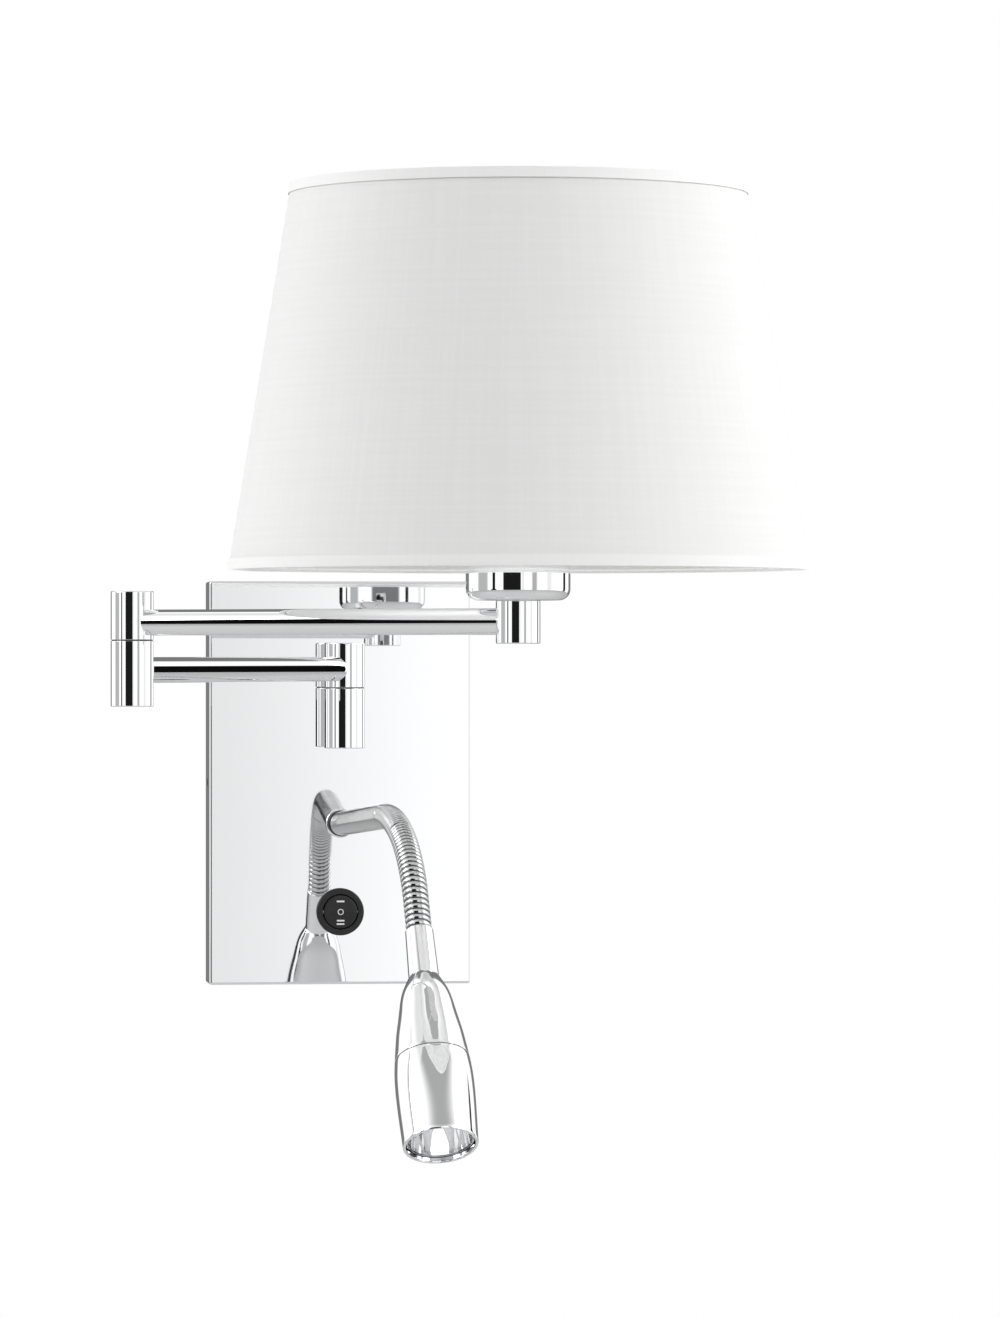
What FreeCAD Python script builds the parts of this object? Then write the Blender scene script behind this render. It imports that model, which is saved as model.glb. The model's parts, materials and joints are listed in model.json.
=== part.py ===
import FreeCAD, Part
import math
import os

# Swing arm wall lamp with a flexible reading arm, in millimetres.
# X runs along the wall to the right, Y into the wall, Z up.
# The origin is the centre of the wall screw pattern, on the wall's surface.

# Back box
plate_width = 130.0
plate_height = 200.0
plate_depth = 25.0
plate_sheet = 1.5
plate_edge_radius = 1.2
stiffener_width = 50.0
stiffener_sheet = 1.5
stiffener_margin = 14.0

# Wall bracket
wall_screw_spacing = 60.0
wall_slot_length = 16.0
wall_slot_radius = 2.5
bracket_height = 50.0
bracket_sheet = 1.5
bracket_ear_gap = 3.0
bracket_ear_height = 18.0
bracket_side_gap = 0.3
cable_entry_radius = 7.0
cable_entry_drop = 12.0
side_screw_radius = 2.0
side_screw_length = 6.0

# Threaded hollow tube shared by every joint, and its nuts
nipple_radius = 5.0
nipple_bore = 3.5
nut_wall = 1.5
nut_height = 4.0
nut_clearance = 0.5
hole_clearance = 0.1
running_clearance = 0.05
face_gap = 0.05

# Columns and arms
column_wall = 2.0
column_floor = 2.5
column_web = 5.0
pivot_web = 4.0
column_edge_radius = 0.5
cap_height = 2.0
pivot_washer_height = 0.5
tube_wall = 1.0
stub_height = 32.0
column_1_reach = 24.0
column_1_bottom = 17.5
column_1_seam = 47.0
column_1_top = 69.5
column_2_bottom = 39.5
column_2_seam = 70.0
column_2_top = 93.0
column_3_bottom = 68.5
column_3_top = 88.0
arm_1_length = 200.0
arm_2_length = 200.0
arm_1_height = 56.5
arm_2_height = 78.5
arm_1_heading = -125.0
arm_2_heading = -33.7
lead_radius = 1.2
lead_bend = 4.0
lead_lift = 3.2
lead_gap = 0.3

# Lamp carrier
cup_gap = 2.6
cup_height = 24.0
cup_wall = 1.2
cup_edge_radius = 5.0
lamp_nut_height = 3.0
holder_wall = 5.7
holder_cap_gap = 0.8
holder_height = 50.0
holder_floor = 3.0
clamp_ring_width = 6.3
clamp_ring_height = 3.0
clamp_ring_gap = 2.0
clamp_ring_level = 26.0
bulb_cap_radius = 13.2
bulb_cap_height = 26.0
bulb_radius = 30.0
bulb_height = 106.0
bulb_neck_radius = 15.0
bulb_seat_gap = 0.5

# Shade
shade_bottom_radius = 130.0
shade_top_radius = 102.0
shade_height = 172.5
shade_wall = 1.0
shade_rise = 14.0
wire_radius = 1.5
wire_gap = 0.1
wire_inset = 2.2
spider_ring_inset = 1.0
spider_ring_clearance = 0.6
spoke_count = 3

# Flexible arm
neck_height = -20.0
neck_heading = 3.0
neck_pitch = 3.0
neck_radius = 6.0
neck_bore = 4.0
neck_straight = 135.0
neck_bends = ((150.0, 22.0), (90.0, 20.0), (56.0, 18.0))
neck_end_straight = 16.0
neck_fixed_length = 26.0
neck_joints = 5
neck_socket_gap = 0.4
root_ring_lip = 0.8
root_ring_height = 2.0
bush_lip = 0.4
bush_height = 7.0
bush_bore = 3.0
bush_groove = 0.5
bush_grooves = 3
bush_shank = 10.0

# Reading head
collar_length = 24.7
collar_lip = 0.4
collar_flare = 0.6
head_length = 86.5
head_radius = 17.8
head_mouth_inset = 0.8
head_wall = 1.4
head_seam = 43.0
head_seam_gap = 0.3
spigot_length = 6.0
spigot_wall = 1.2
fit_gap = 0.1
sink_start = 38.0
sink_height = 20.0
sink_core = 6.0
sink_fins = 9
sink_fin_thickness = 1.2
sink_base = 3.0
board_margin = 1.1
board_thickness = 1.6
reflector_throat = 5.0
reflector_wall = 0.8
lens_thickness = 1.5
lens_recess = 2.4

# Rocker switch
switch_height = -64.0
switch_body_wall = 1.05
bezel_height = 2.2
bezel_edge_radius = 0.7
bezel_lip = 1.95
switch_body_depth = 13.0
rocker_radius = 8.3
rocker_clearance = 0.45
rocker_pocket = 6.0
rocker_pivot_depth = 0.8
rocker_crest = 2.9
rocker_rim = 1.5
rocker_under = 2.0
rocker_pin_radius = 1.0
mark_height = 0.15
mark_length = 3.8
mark_width = 0.8
mark_offset = 5.2
mark_pair_gap = 1.7
mark_ring_radius = 1.5
terminal_width = 4.8
terminal_thickness = 0.8
terminal_length = 6.0
terminal_pitch = 5.5

# Wiring inside the box
driver_size = (44.0, 16.0, 44.0)
driver_margin = 3.0
block_size = (36.0, 11.0, 12.0)
block_rise = 3.0
block_ways = 3
block_screw_radius = 2.2
earth_screw_radius = 3.6
earth_screw_place = (46.0, 16.0)

X = FreeCAD.Vector(1, 0, 0)
Y = FreeCAD.Vector(0, 1, 0)
Z = FreeCAD.Vector(0, 0, 1)
OUT = FreeCAD.Vector(0, -1, 0)


def at(x, y, z):
    return FreeCAD.Vector(x, y, z)


def heading_vector(degrees):
    angle = math.radians(degrees)
    return at(math.cos(angle), math.sin(angle), 0)


nut_flats = 2 * (nipple_radius + nut_wall)
column_bore = nut_flats / math.sqrt(3) + nut_clearance
column_radius = column_bore + column_wall
tube_bore = nipple_radius
tube_radius = tube_bore + tube_wall
bracket_ear_depth = plate_depth - plate_sheet - bracket_sheet - bracket_ear_gap
holder_bore = bulb_cap_radius + holder_cap_gap
holder_radius = holder_bore + holder_wall
cup_radius = holder_radius + cup_gap + cup_wall
clamp_ring_radius = holder_radius + clamp_ring_width
spider_ring_radius = clamp_ring_radius - spider_ring_inset
bush_radius = neck_radius + bush_lip
root_ring_radius = bush_radius + root_ring_lip
collar_root_radius = neck_radius + collar_lip
head_root_radius = collar_root_radius + collar_flare
head_mouth_radius = head_radius - head_mouth_inset
switch_body_radius = rocker_radius + rocker_clearance + switch_body_wall
bezel_radius = switch_body_radius + bezel_lip
plate_face = -plate_depth
plate_inside = plate_face + plate_sheet
column_1 = at(0, plate_face - column_1_reach, 0)
column_2 = column_1 + heading_vector(arm_1_heading) * arm_1_length
column_3 = column_2 + heading_vector(arm_2_heading) * arm_2_length
bracket_front = -bracket_sheet
cup_bottom = column_3_top
holder_bottom = cup_bottom + cup_wall + lamp_nut_height
shade_bottom = cup_bottom + shade_rise
rocker_axis_y = plate_face + rocker_pivot_depth - bezel_height / 2


def save(name, shape):
    shape.exportStep("parts/" + name + ".step")


def rod(radius, length, start, direction):
    return Part.makeCylinder(radius, length, start, direction)


def pipe(outer, inner, length, start, direction):
    return rod(outer, length, start, direction).cut(rod(inner, length, start, direction))


def block(low, high):
    return Part.makeBox(high.x - low.x, high.y - low.y, high.z - low.z, low)


def group(shapes):
    return Part.Compound(shapes)


def hex_prism(flats, height, start, direction):
    corner = flats / math.sqrt(3)
    angles = [i * math.pi / 3 for i in range(7)]
    points = [at(corner * math.cos(angle), corner * math.sin(angle), 0) for angle in angles]
    prism = Part.Face(Part.makePolygon(points)).extrude(Z * height)
    prism.Placement = FreeCAD.Placement(start, FreeCAD.Rotation(Z, direction))
    return prism


def nut(height, start, direction):
    return hex_prism(nut_flats, height, start, direction).cut(rod(nipple_radius, height, start, direction))


def round_edges(shape, radius, chosen):
    return shape.makeFillet(radius, [edge for edge in shape.Edges if chosen(edge)])


def outer_circle(radius, height):
    def chosen(edge):
        curve = edge.Curve
        is_circle = isinstance(curve, Part.Circle) and abs(curve.Radius - radius) < 1e-6
        return is_circle and abs(curve.Center.z - height) < 1e-6
    return chosen


def routed_wire(points, bend):
    edges = []
    start = points[0]
    for before, corner, after in zip(points, points[1:], points[2:]):
        arriving = (corner - before).normalize()
        leaving = (after - corner).normalize()
        half_turn = arriving.getAngle(leaving) / 2
        setback = bend * math.tan(half_turn)
        arc_start = corner - arriving * setback
        arc_end = corner + leaving * setback
        towards_centre = (leaving - arriving).normalize()
        arc_middle = corner + towards_centre * (bend / math.cos(half_turn) - bend)
        edges.append(Part.LineSegment(start, arc_start).toShape())
        edges.append(Part.Arc(arc_start, arc_middle, arc_end).toShape())
        start = arc_end
    edges.append(Part.LineSegment(start, points[-1]).toShape())
    return Part.Wire(edges)


def swept(wire, radius, start, direction):
    profile = Part.Wire(Part.makeCircle(radius, start, direction))
    return wire.makePipeShell([profile], True, True)


def lead(points, bend=lead_bend):
    wire = routed_wire(points, bend)
    return swept(wire, lead_radius, points[0], points[1] - points[0])


# ---- Back box and wall bracket ----

def backplate_shell():
    half_width = plate_width / 2
    half_height = plate_height / 2
    outer = block(at(-half_width, plate_face, -half_height), at(half_width, 0, half_height))
    outer = round_edges(outer, plate_edge_radius, lambda edge: edge.BoundBox.YMin < -0.1)
    inner_low = at(-half_width + plate_sheet, plate_inside, -half_height + plate_sheet)
    inner_high = at(half_width - plate_sheet, 0, half_height - plate_sheet)
    shell = outer.cut(block(inner_low, inner_high))
    through = 3 * plate_sheet
    front = plate_face - plate_sheet
    for radius, height in (
        (nipple_radius + hole_clearance, stub_height),
        (nipple_radius + hole_clearance, neck_height),
        (switch_body_radius + hole_clearance, switch_height),
    ):
        shell = shell.cut(rod(radius, through, at(0, front, height), Y))
    side_hole = rod(side_screw_radius, plate_width + 2 * plate_sheet, side_screw_start(), X)
    return shell.cut(side_hole)


def side_screw_start():
    return at(-plate_width / 2 - plate_sheet, -bracket_ear_depth / 2 - bracket_sheet, 0)


def shell_side_screws():
    middle = side_screw_start().y
    left = rod(side_screw_radius, side_screw_length, at(-plate_width / 2, middle, 0), X)
    right = rod(side_screw_radius, side_screw_length, at(plate_width / 2, middle, 0), X * -1)
    return group([left, right])


def wall_bracket():
    half_span = plate_width / 2 - plate_sheet - bracket_side_gap
    half_height = bracket_height / 2
    strap = block(at(-half_span, bracket_front, -half_height), at(half_span, 0, half_height))
    ear_half = bracket_ear_height / 2
    for side in (-1, 1):
        inner = side * (half_span - bracket_sheet)
        outer = side * half_span
        low = at(min(inner, outer), bracket_front - bracket_ear_depth, -ear_half)
        high = at(max(inner, outer), bracket_front, ear_half)
        strap = strap.fuse(block(low, high))
        strap = strap.cut(wall_slot(side * wall_screw_spacing / 2))
    strap = strap.cut(rod(cable_entry_radius, bracket_sheet, at(0, bracket_front, -cable_entry_drop), Y))
    strap = strap.cut(rod(side_screw_radius, plate_width + 2 * plate_sheet, side_screw_start(), X))
    earth_x, earth_z = earth_screw_place
    earth_hole = rod(side_screw_radius, bracket_sheet, at(earth_x, bracket_front, earth_z), Y)
    return strap.cut(earth_hole).removeSplitter()


def wall_slot(centre):
    half = wall_slot_length / 2 - wall_slot_radius
    left_end = rod(wall_slot_radius, bracket_sheet, at(centre - half, bracket_front, 0), Y)
    right_end = rod(wall_slot_radius, bracket_sheet, at(centre + half, bracket_front, 0), Y)
    low = at(centre - half, bracket_front, -wall_slot_radius)
    high = at(centre + half, 0, wall_slot_radius)
    return left_end.fuse(right_end).fuse(block(low, high))


def front_stiffener():
    half = stiffener_width / 2
    low = at(-half, plate_inside, neck_height - stiffener_margin)
    high = at(half, plate_inside + stiffener_sheet, stub_height + stiffener_margin)
    sheet = block(low, high)
    for height in (stub_height, neck_height):
        hole = rod(nipple_radius + hole_clearance, stiffener_sheet, at(0, plate_inside, height), Y)
        sheet = sheet.cut(hole)
    return sheet


# ---- Fixed stub and column 1 ----

def stub_tube():
    tube = pipe(tube_radius, tube_bore, column_1_reach, at(0, plate_face, stub_height), OUT)
    column = rod(column_radius, column_1_seam - column_1_bottom, column_1 + Z * column_1_bottom, Z)
    return tube.cut(column)


def stub_nipple():
    inner_end = plate_inside + stiffener_sheet + nut_height + 1
    length = inner_end - column_1.y - column_bore
    return pipe(nipple_radius, nipple_bore, length, at(0, inner_end, stub_height), OUT)


def panel_nut(height):
    return nut(nut_height, at(0, plate_inside + stiffener_sheet, height), Y)


def fixed_sleeve(axis, bottom, seam):
    sleeve = rod(column_radius, seam - bottom, axis + Z * bottom, Z)
    sleeve = round_edges(sleeve, column_edge_radius, outer_circle(column_radius, bottom))
    hollow = seam - bottom - column_floor - column_web
    sleeve = sleeve.cut(rod(column_bore, hollow, axis + Z * (bottom + column_floor), Z))
    return sleeve.cut(rod(nipple_radius, column_web, axis + Z * (seam - column_web), Z))


def column_1_lower_sleeve():
    sleeve = fixed_sleeve(column_1, column_1_bottom, column_1_seam)
    return sleeve.cut(rod(nipple_radius, column_radius, column_1 + Z * stub_height, Y))


def pivot_nipple(axis, seam):
    top = pivot_nipple_top(seam)
    bottom = seam - column_web - 3
    return pipe(nipple_radius, nipple_bore, top - bottom, axis + Z * bottom, Z)


def turning_level(seam):
    return seam + pivot_washer_height + face_gap


def pivot_nut_level(seam):
    return turning_level(seam) + pivot_web + face_gap


def pivot_nipple_top(seam):
    return pivot_nut_level(seam) + nut_height + 0.5


def pivot_nut(axis, seam):
    return nut(nut_height, axis + Z * pivot_nut_level(seam), Z)


def pivot_washer(axis, seam):
    inner = nipple_radius + running_clearance
    return pipe(column_radius - column_edge_radius, inner, pivot_washer_height, axis + Z * seam, Z)


def turning_sleeve(axis, seam, top, tube_heading, tube_height):
    level = turning_level(seam)
    sleeve = rod(column_radius, top - level, axis + Z * level, Z)
    sleeve = round_edges(sleeve, column_edge_radius, outer_circle(column_radius, top))
    bore_start = level + pivot_web
    sleeve = sleeve.cut(rod(column_bore, top - bore_start, axis + Z * bore_start, Z))
    sleeve = sleeve.cut(rod(nipple_radius + running_clearance, pivot_web, axis + Z * level, Z))
    return sleeve.cut(lead_hole(axis, tube_heading, tube_height))


def lead_hole(axis, heading, height):
    start = axis + Z * (height + lead_lift - lead_radius - 1)
    return rod(lead_radius + 1.6, column_radius, start + Z * (lead_radius + 1), heading_vector(heading))


def top_cap(axis, top):
    return rod(column_bore, cap_height, axis + Z * (top - cap_height), Z)


def arm_tube(start, end, height):
    heading = (end - start).normalize()
    length = (end - start).Length
    tube = pipe(tube_radius, tube_bore, length, start + Z * height, heading)
    for axis in (start, end):
        tube = tube.cut(rod(column_radius, 4 * tube_radius, axis + Z * (height - 2 * tube_radius), Z))
    return tube


def column_2_lower_sleeve():
    sleeve = fixed_sleeve(column_2, column_2_bottom, column_2_seam)
    return sleeve.cut(lead_hole(column_2, arm_1_heading + 180, arm_1_height))


def column_3_sleeve():
    sleeve = fixed_sleeve(column_3, column_3_bottom, column_3_top)
    sleeve = round_edges(sleeve, column_edge_radius, outer_circle(column_radius, column_3_top))
    return sleeve.cut(lead_hole(column_3, arm_2_heading + 180, arm_2_height))


def arm_1_lead():
    heading = heading_vector(arm_1_heading)
    level = Z * (arm_1_height + lead_lift)
    start = column_1 + Z * (pivot_nipple_top(column_1_seam) - lead_bend)
    end = column_2 + Z * (pivot_nipple_top(column_2_seam) - lead_bend - lead_gap)
    return lead([start, column_1 + level, column_1 + heading * arm_1_length + level, end], lead_bend - 1)


def arm_2_lead():
    level = Z * (arm_2_height + lead_lift)
    start = column_2 + Z * (pivot_nipple_top(column_2_seam) - lead_bend)
    end = column_3 + Z * (holder_bottom + holder_floor)
    return lead([start, column_2 + level, column_3 + level, end], lead_bend - 1)


# ---- Lamp carrier ----

def lamp_nipple():
    bottom = column_3_top - column_web
    top = holder_bottom + holder_floor
    return pipe(nipple_radius, nipple_bore, top - bottom, column_3 + Z * bottom, Z)


def lamp_nut():
    return nut(lamp_nut_height, column_3 + Z * (cup_bottom + cup_wall), Z)


def shade_cup():
    base = column_3 + Z * cup_bottom
    outer = rod(cup_radius, cup_height, base, Z)
    outer = round_edges(outer, cup_edge_radius, outer_circle(cup_radius, cup_bottom))
    inner = rod(cup_radius - cup_wall, cup_height, base + Z * cup_wall, Z)
    level = cup_bottom + cup_wall
    inner = round_edges(inner, cup_edge_radius - cup_wall, outer_circle(cup_radius - cup_wall, level))
    return outer.cut(inner).cut(rod(nipple_radius, cup_wall, base, Z))


def lampholder():
    base = column_3 + Z * holder_bottom
    body = rod(holder_radius, holder_height, base, Z)
    body = body.cut(rod(holder_bore, holder_height, base + Z * holder_floor, Z))
    return body.cut(rod(nipple_radius, holder_floor, base, Z))


def clamp_level():
    return holder_bottom + clamp_ring_level


def shade_clamp_rings():
    inner = holder_radius + fit_gap / 2
    lower = column_3 + Z * clamp_level()
    upper = lower + Z * (clamp_ring_height + clamp_ring_gap)
    return group([pipe(clamp_ring_radius, inner, clamp_ring_height, start, Z) for start in (lower, upper)])


def bulb_start():
    return column_3 + Z * (holder_bottom + holder_height - bulb_cap_height + bulb_seat_gap)


def bulb_cap():
    start = bulb_start()
    tip = Part.makeCone(bulb_cap_radius / 3, bulb_cap_radius, 3, start, Z)
    return tip.fuse(rod(bulb_cap_radius, bulb_cap_height - 3, start + Z * 3, Z))


def bulb_globe():
    start = bulb_start() + Z * bulb_cap_height
    height = bulb_height - bulb_cap_height
    centre = at(0, 0, height - bulb_radius)
    top = at(0, 0, height)
    side = at(bulb_radius, 0, centre.z)
    shoulder = centre + at(math.cos(math.pi / 4), 0, math.sin(math.pi / 4)) * bulb_radius
    neck = at(bulb_neck_radius, 0, 0)
    flank = Part.BSplineCurve()
    flank.interpolate([side, at(bulb_radius * 0.78, 0, centre.z * 0.45), neck])
    edges = [
        Part.Arc(top, shoulder, side).toShape(),
        flank.toShape(),
        Part.LineSegment(neck, at(0, 0, 0)).toShape(),
        Part.LineSegment(at(0, 0, 0), top).toShape(),
    ]
    globe = Part.Face(Part.Wire(edges)).revolve(at(0, 0, 0), Z, 360)
    globe.Placement = FreeCAD.Placement(start, FreeCAD.Rotation())
    return globe


# ---- Shade ----

def shade_radius_at(rise):
    return shade_bottom_radius + (shade_top_radius - shade_bottom_radius) * rise / shade_height


def shade_cloth():
    base = column_3 + Z * shade_bottom
    outer = Part.makeCone(shade_bottom_radius, shade_top_radius, shade_height, base, Z)
    inner_bottom = shade_bottom_radius - shade_wall
    inner_top = shade_top_radius - shade_wall
    return outer.cut(Part.makeCone(inner_bottom, inner_top, shade_height, base, Z))


def shade_wire(rise):
    radius = shade_radius_at(rise) - shade_wall - wire_radius - wire_gap
    return Part.makeTorus(radius, wire_radius, column_3 + Z * (shade_bottom + rise), Z)


def shade_top_ring():
    return shade_wire(shade_height - wire_inset)


def shade_frame():
    hub_level = clamp_level() + clamp_ring_height
    hub = column_3 + Z * hub_level
    frame = pipe(spider_ring_radius, holder_radius + spider_ring_clearance, clamp_ring_gap, hub, Z)
    rim_radius = shade_radius_at(wire_inset) - shade_wall - wire_radius - wire_gap
    rim = column_3 + Z * (shade_bottom + wire_inset)
    for i in range(spoke_count):
        direction = heading_vector(90 + i * 360 / spoke_count)
        knee = hub + direction * (clamp_ring_radius + 4) + Z * (clamp_ring_gap / 2)
        inner = hub + direction * (spider_ring_radius - 2) + Z * (clamp_ring_gap / 2)
        outer = rim + direction * rim_radius
        flat = rod(clamp_ring_gap / 2, (knee - inner).Length, inner, direction)
        slope = rod(clamp_ring_gap / 2, (outer - knee).Length, knee, outer - knee)
        frame = frame.fuse(flat).fuse(slope).fuse(Part.makeSphere(clamp_ring_gap / 2, knee))
    return frame.fuse(shade_wire(wire_inset))


# ---- Flexible arm ----

def neck_point(along, height):
    forward = heading_vector(neck_heading - 90)
    return at(0, plate_face - root_ring_height - bush_height, neck_height) + forward * along + Z * height


def neck_runs():
    runs = [(neck_straight, 0.0)]
    for radius, turn in neck_bends:
        runs.append((radius * math.radians(turn), radius))
    runs.append((neck_end_straight, 0.0))
    return runs


def neck_length():
    return sum(length for length, radius in neck_runs())


def neck_pieces(start, end):
    """Edges of the centre line from one distance along it to another, and its state at the end."""
    edges = []
    along, height, angle, done = 0.0, 0.0, math.radians(neck_pitch), 0.0
    for length, radius in neck_runs():
        first = max(start - done, 0.0)
        last = min(end - done, length)
        if last - first > 1e-6:
            edges.append(neck_edge(along, height, angle, radius, first, last))
        span = min(length, max(end - done, 0.0))
        along, height, angle = neck_step(along, height, angle, radius, span)
        done += length
    return edges, neck_point(along, height), neck_tangent(angle)


def neck_step(along, height, angle, radius, span):
    if radius == 0.0:
        return along + span * math.cos(angle), height + span * math.sin(angle), angle
    end = angle - span / radius
    along += radius * (math.sin(angle) - math.sin(end))
    height += radius * (math.cos(end) - math.cos(angle))
    return along, height, end


def neck_edge(along, height, angle, radius, first, last):
    spans = (first, (first + last) / 2, last)
    points = [neck_point(*neck_step(along, height, angle, radius, span)[:2]) for span in spans]
    if radius == 0.0:
        return Part.LineSegment(points[0], points[2]).toShape()
    return Part.Arc(*points).toShape()


def neck_tangent(angle):
    return heading_vector(neck_heading - 90) * math.cos(angle) + Z * math.sin(angle)


def neck_joint_distance(index):
    spacing = (neck_length() - neck_fixed_length) / neck_joints
    return neck_fixed_length + spacing * (index - 1)


def neck_joint_place(index):
    """Pivot point and direction of the flexible arm at its numbered joint."""
    return neck_pieces(0.0, neck_joint_distance(index))[1:]


def neck_segment(number):
    """Segment 1 is fixed; segment n starts at joint n - 1 with a ball, and ends in a socket."""
    start = 0.0 if number == 1 else neck_joint_distance(number - 1)
    end = neck_length() if number == neck_joints + 1 else neck_joint_distance(number)
    edges, end_point = neck_pieces(start, end)[:2]
    start_point, start_tangent = neck_pieces(0.0, start)[1:]
    wire = Part.Wire(edges)
    body = swept(wire, neck_radius, start_point, start_tangent)
    bore = swept(wire, neck_bore, start_point, start_tangent)
    if number > 1:
        body = body.fuse(Part.makeSphere(neck_radius, start_point))
    else:
        body = body.fuse(rod(neck_radius, bush_groove * 2, start_point, start_tangent * -1))
        body = body.cut(rod(root_ring_radius, bush_height, start_point, Y))
    bore = bore.fuse(rod(neck_bore, neck_radius, start_point, start_tangent * -1))
    body = body.cut(bore)
    if number <= neck_joints:
        body = body.cut(Part.makeSphere(neck_radius + neck_socket_gap, end_point))
    return body


def neck_root_ring():
    start = at(0, plate_face, neck_height)
    return pipe(root_ring_radius, nipple_radius, root_ring_height, start, OUT)


def neck_bush():
    base = at(0, plate_face - root_ring_height, neck_height)
    bush = rod(bush_radius, bush_height, base, OUT)
    pitch = bush_height / (bush_grooves + 1)
    for i in range(bush_grooves):
        middle = base + OUT * (pitch * (i + 1) - bush_groove / 2)
        bush = bush.cut(pipe(bush_radius + 1, bush_radius - bush_groove, bush_groove, middle, OUT))
    bush = bush.fuse(rod(nipple_radius, bush_shank + root_ring_height, base, Y))
    return bush.cut(rod(bush_bore, 4 * bush_height, base + OUT * bush_height, Y))


# ---- Reading head ----

def place_on_head(shape, along):
    point, tangent = neck_pieces(0.0, neck_length())[1:]
    shape.Placement = FreeCAD.Placement(point + tangent * along, FreeCAD.Rotation(Z, tangent))
    return shape


def neck_collar():
    outer = Part.makeCone(collar_root_radius, head_root_radius, collar_length)
    return place_on_head(outer.cut(rod(neck_bore, collar_length, at(0, 0, 0), Z)), 0.0)


def head_outline(inset):
    curve = Part.BSplineCurve()
    shape_points = (
        (0.0, head_root_radius),
        (0.10, head_root_radius + 0.36 * (head_radius - head_root_radius)),
        (0.23, head_root_radius + 0.58 * (head_radius - head_root_radius)),
        (0.38, head_root_radius + 0.80 * (head_radius - head_root_radius)),
        (0.62, head_radius),
        (1.0, head_mouth_radius),
    )
    curve.interpolate([at(radius - inset, 0, share * head_length) for share, radius in shape_points])
    return curve


def head_solid(inset):
    outline = head_outline(inset).toShape()
    first = outline.valueAt(outline.FirstParameter)
    last = outline.valueAt(outline.LastParameter)
    foot = at(0, 0, first.z)
    top = at(0, 0, last.z)
    edges = [
        outline,
        Part.LineSegment(last, top).toShape(),
        Part.LineSegment(top, foot).toShape(),
        Part.LineSegment(foot, first).toShape(),
    ]
    return Part.Face(Part.Wire(edges)).revolve(at(0, 0, 0), Z, 360)


def head_slice(low, high):
    return rod(2 * head_radius, high - low, at(0, 0, low), Z)


def head_inner_radius(along):
    outline = head_outline(head_wall)
    crossing = outline.toShape().section(Part.makePlane(400, 400, at(-200, -200, along), Z))
    return crossing.Vertexes[0].X


def head_rear_shell():
    hollow = head_solid(head_wall).common(head_slice(head_wall, head_length))
    shell = head_solid(0.0).cut(hollow)
    shell = shell.cut(rod(neck_bore, head_wall, at(0, 0, 0), Z))
    return place_on_head(shell.common(head_slice(0.0, head_seam - head_seam_gap / 2)), collar_length)


def head_front_shell():
    shell = head_solid(0.0).cut(head_solid(head_wall))
    shell = shell.common(head_slice(head_seam + head_seam_gap / 2, head_length))
    spigot_outer = spigot_radius()
    spigot_inner = spigot_outer - spigot_wall
    spigot_start = at(0, 0, head_seam - spigot_length)
    spigot = pipe(spigot_outer, spigot_inner, 2 * spigot_length, spigot_start, Z)
    flange_outer = head_inner_radius(head_seam) + head_wall / 2
    flange_start = at(0, 0, head_seam + head_seam_gap / 2)
    flange = pipe(flange_outer, spigot_inner, spigot_wall, flange_start, Z)
    front = shell.fuse(flange).fuse(spigot)
    return place_on_head(front, collar_length)


def heat_sink():
    sink = rod(sink_core, sink_height, at(0, 0, sink_start), Z)
    fin_radius = sink_fin_radius()
    for i in range(sink_fins):
        low = at(0, -sink_fin_thickness / 2, sink_start)
        fin = block(low, at(fin_radius, sink_fin_thickness / 2, sink_end()))
        fin.rotate(at(0, 0, 0), Z, i * 360 / sink_fins)
        sink = sink.fuse(fin)
    sink = sink.fuse(rod(fin_radius, sink_base, at(0, 0, sink_end() - sink_base), Z))
    return place_on_head(sink.removeSplitter(), collar_length)


def spigot_radius():
    return head_inner_radius(head_seam - spigot_length) - fit_gap


def sink_fin_radius():
    return spigot_radius() - spigot_wall - 3 * fit_gap


def sink_end():
    return sink_start + sink_height


def led_board():
    radius = sink_fin_radius() - board_margin
    return place_on_head(rod(radius, board_thickness, at(0, 0, sink_end()), Z), collar_length)


def lens_start():
    return head_length - lens_recess - lens_thickness


def reflector():
    start = sink_end() + board_thickness + face_gap
    height = lens_start() - face_gap - start
    rim = head_inner_radius(lens_start()) - 2 * fit_gap
    outer = Part.makeCone(reflector_throat + reflector_wall, rim, height, at(0, 0, start), Z)
    inner = Part.makeCone(reflector_throat, rim - reflector_wall, height, at(0, 0, start), Z)
    return place_on_head(outer.cut(inner), collar_length)


def head_lens():
    radius = head_inner_radius(head_length - lens_recess) - fit_gap
    return place_on_head(rod(radius, lens_thickness, at(0, 0, lens_start()), Z), collar_length)


# ---- Rocker switch ----

def switch_housing():
    flange = rod(bezel_radius, bezel_height, at(0, plate_face - bezel_height, switch_height), Y)
    middle = plate_face - bezel_height / 2
    flange = round_edges(flange, bezel_edge_radius, lambda edge: edge.BoundBox.YMax < middle)
    body = rod(switch_body_radius, switch_body_depth, at(0, plate_face, switch_height), Y)
    front = at(0, plate_face - bezel_height, switch_height)
    pocket = rod(rocker_radius + rocker_clearance, rocker_pocket + bezel_height, front, Y)
    return flange.fuse(body).cut(pocket).cut(rocker_pin_rod(2 * bezel_radius, rocker_pin_radius))


def rocker_pin_rod(length, radius):
    return rod(radius, length, at(-length / 2, rocker_axis_y, switch_height), X)


def rocker_pin():
    return rocker_pin_rod(2 * switch_body_radius - 0.6, rocker_pin_radius)


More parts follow.
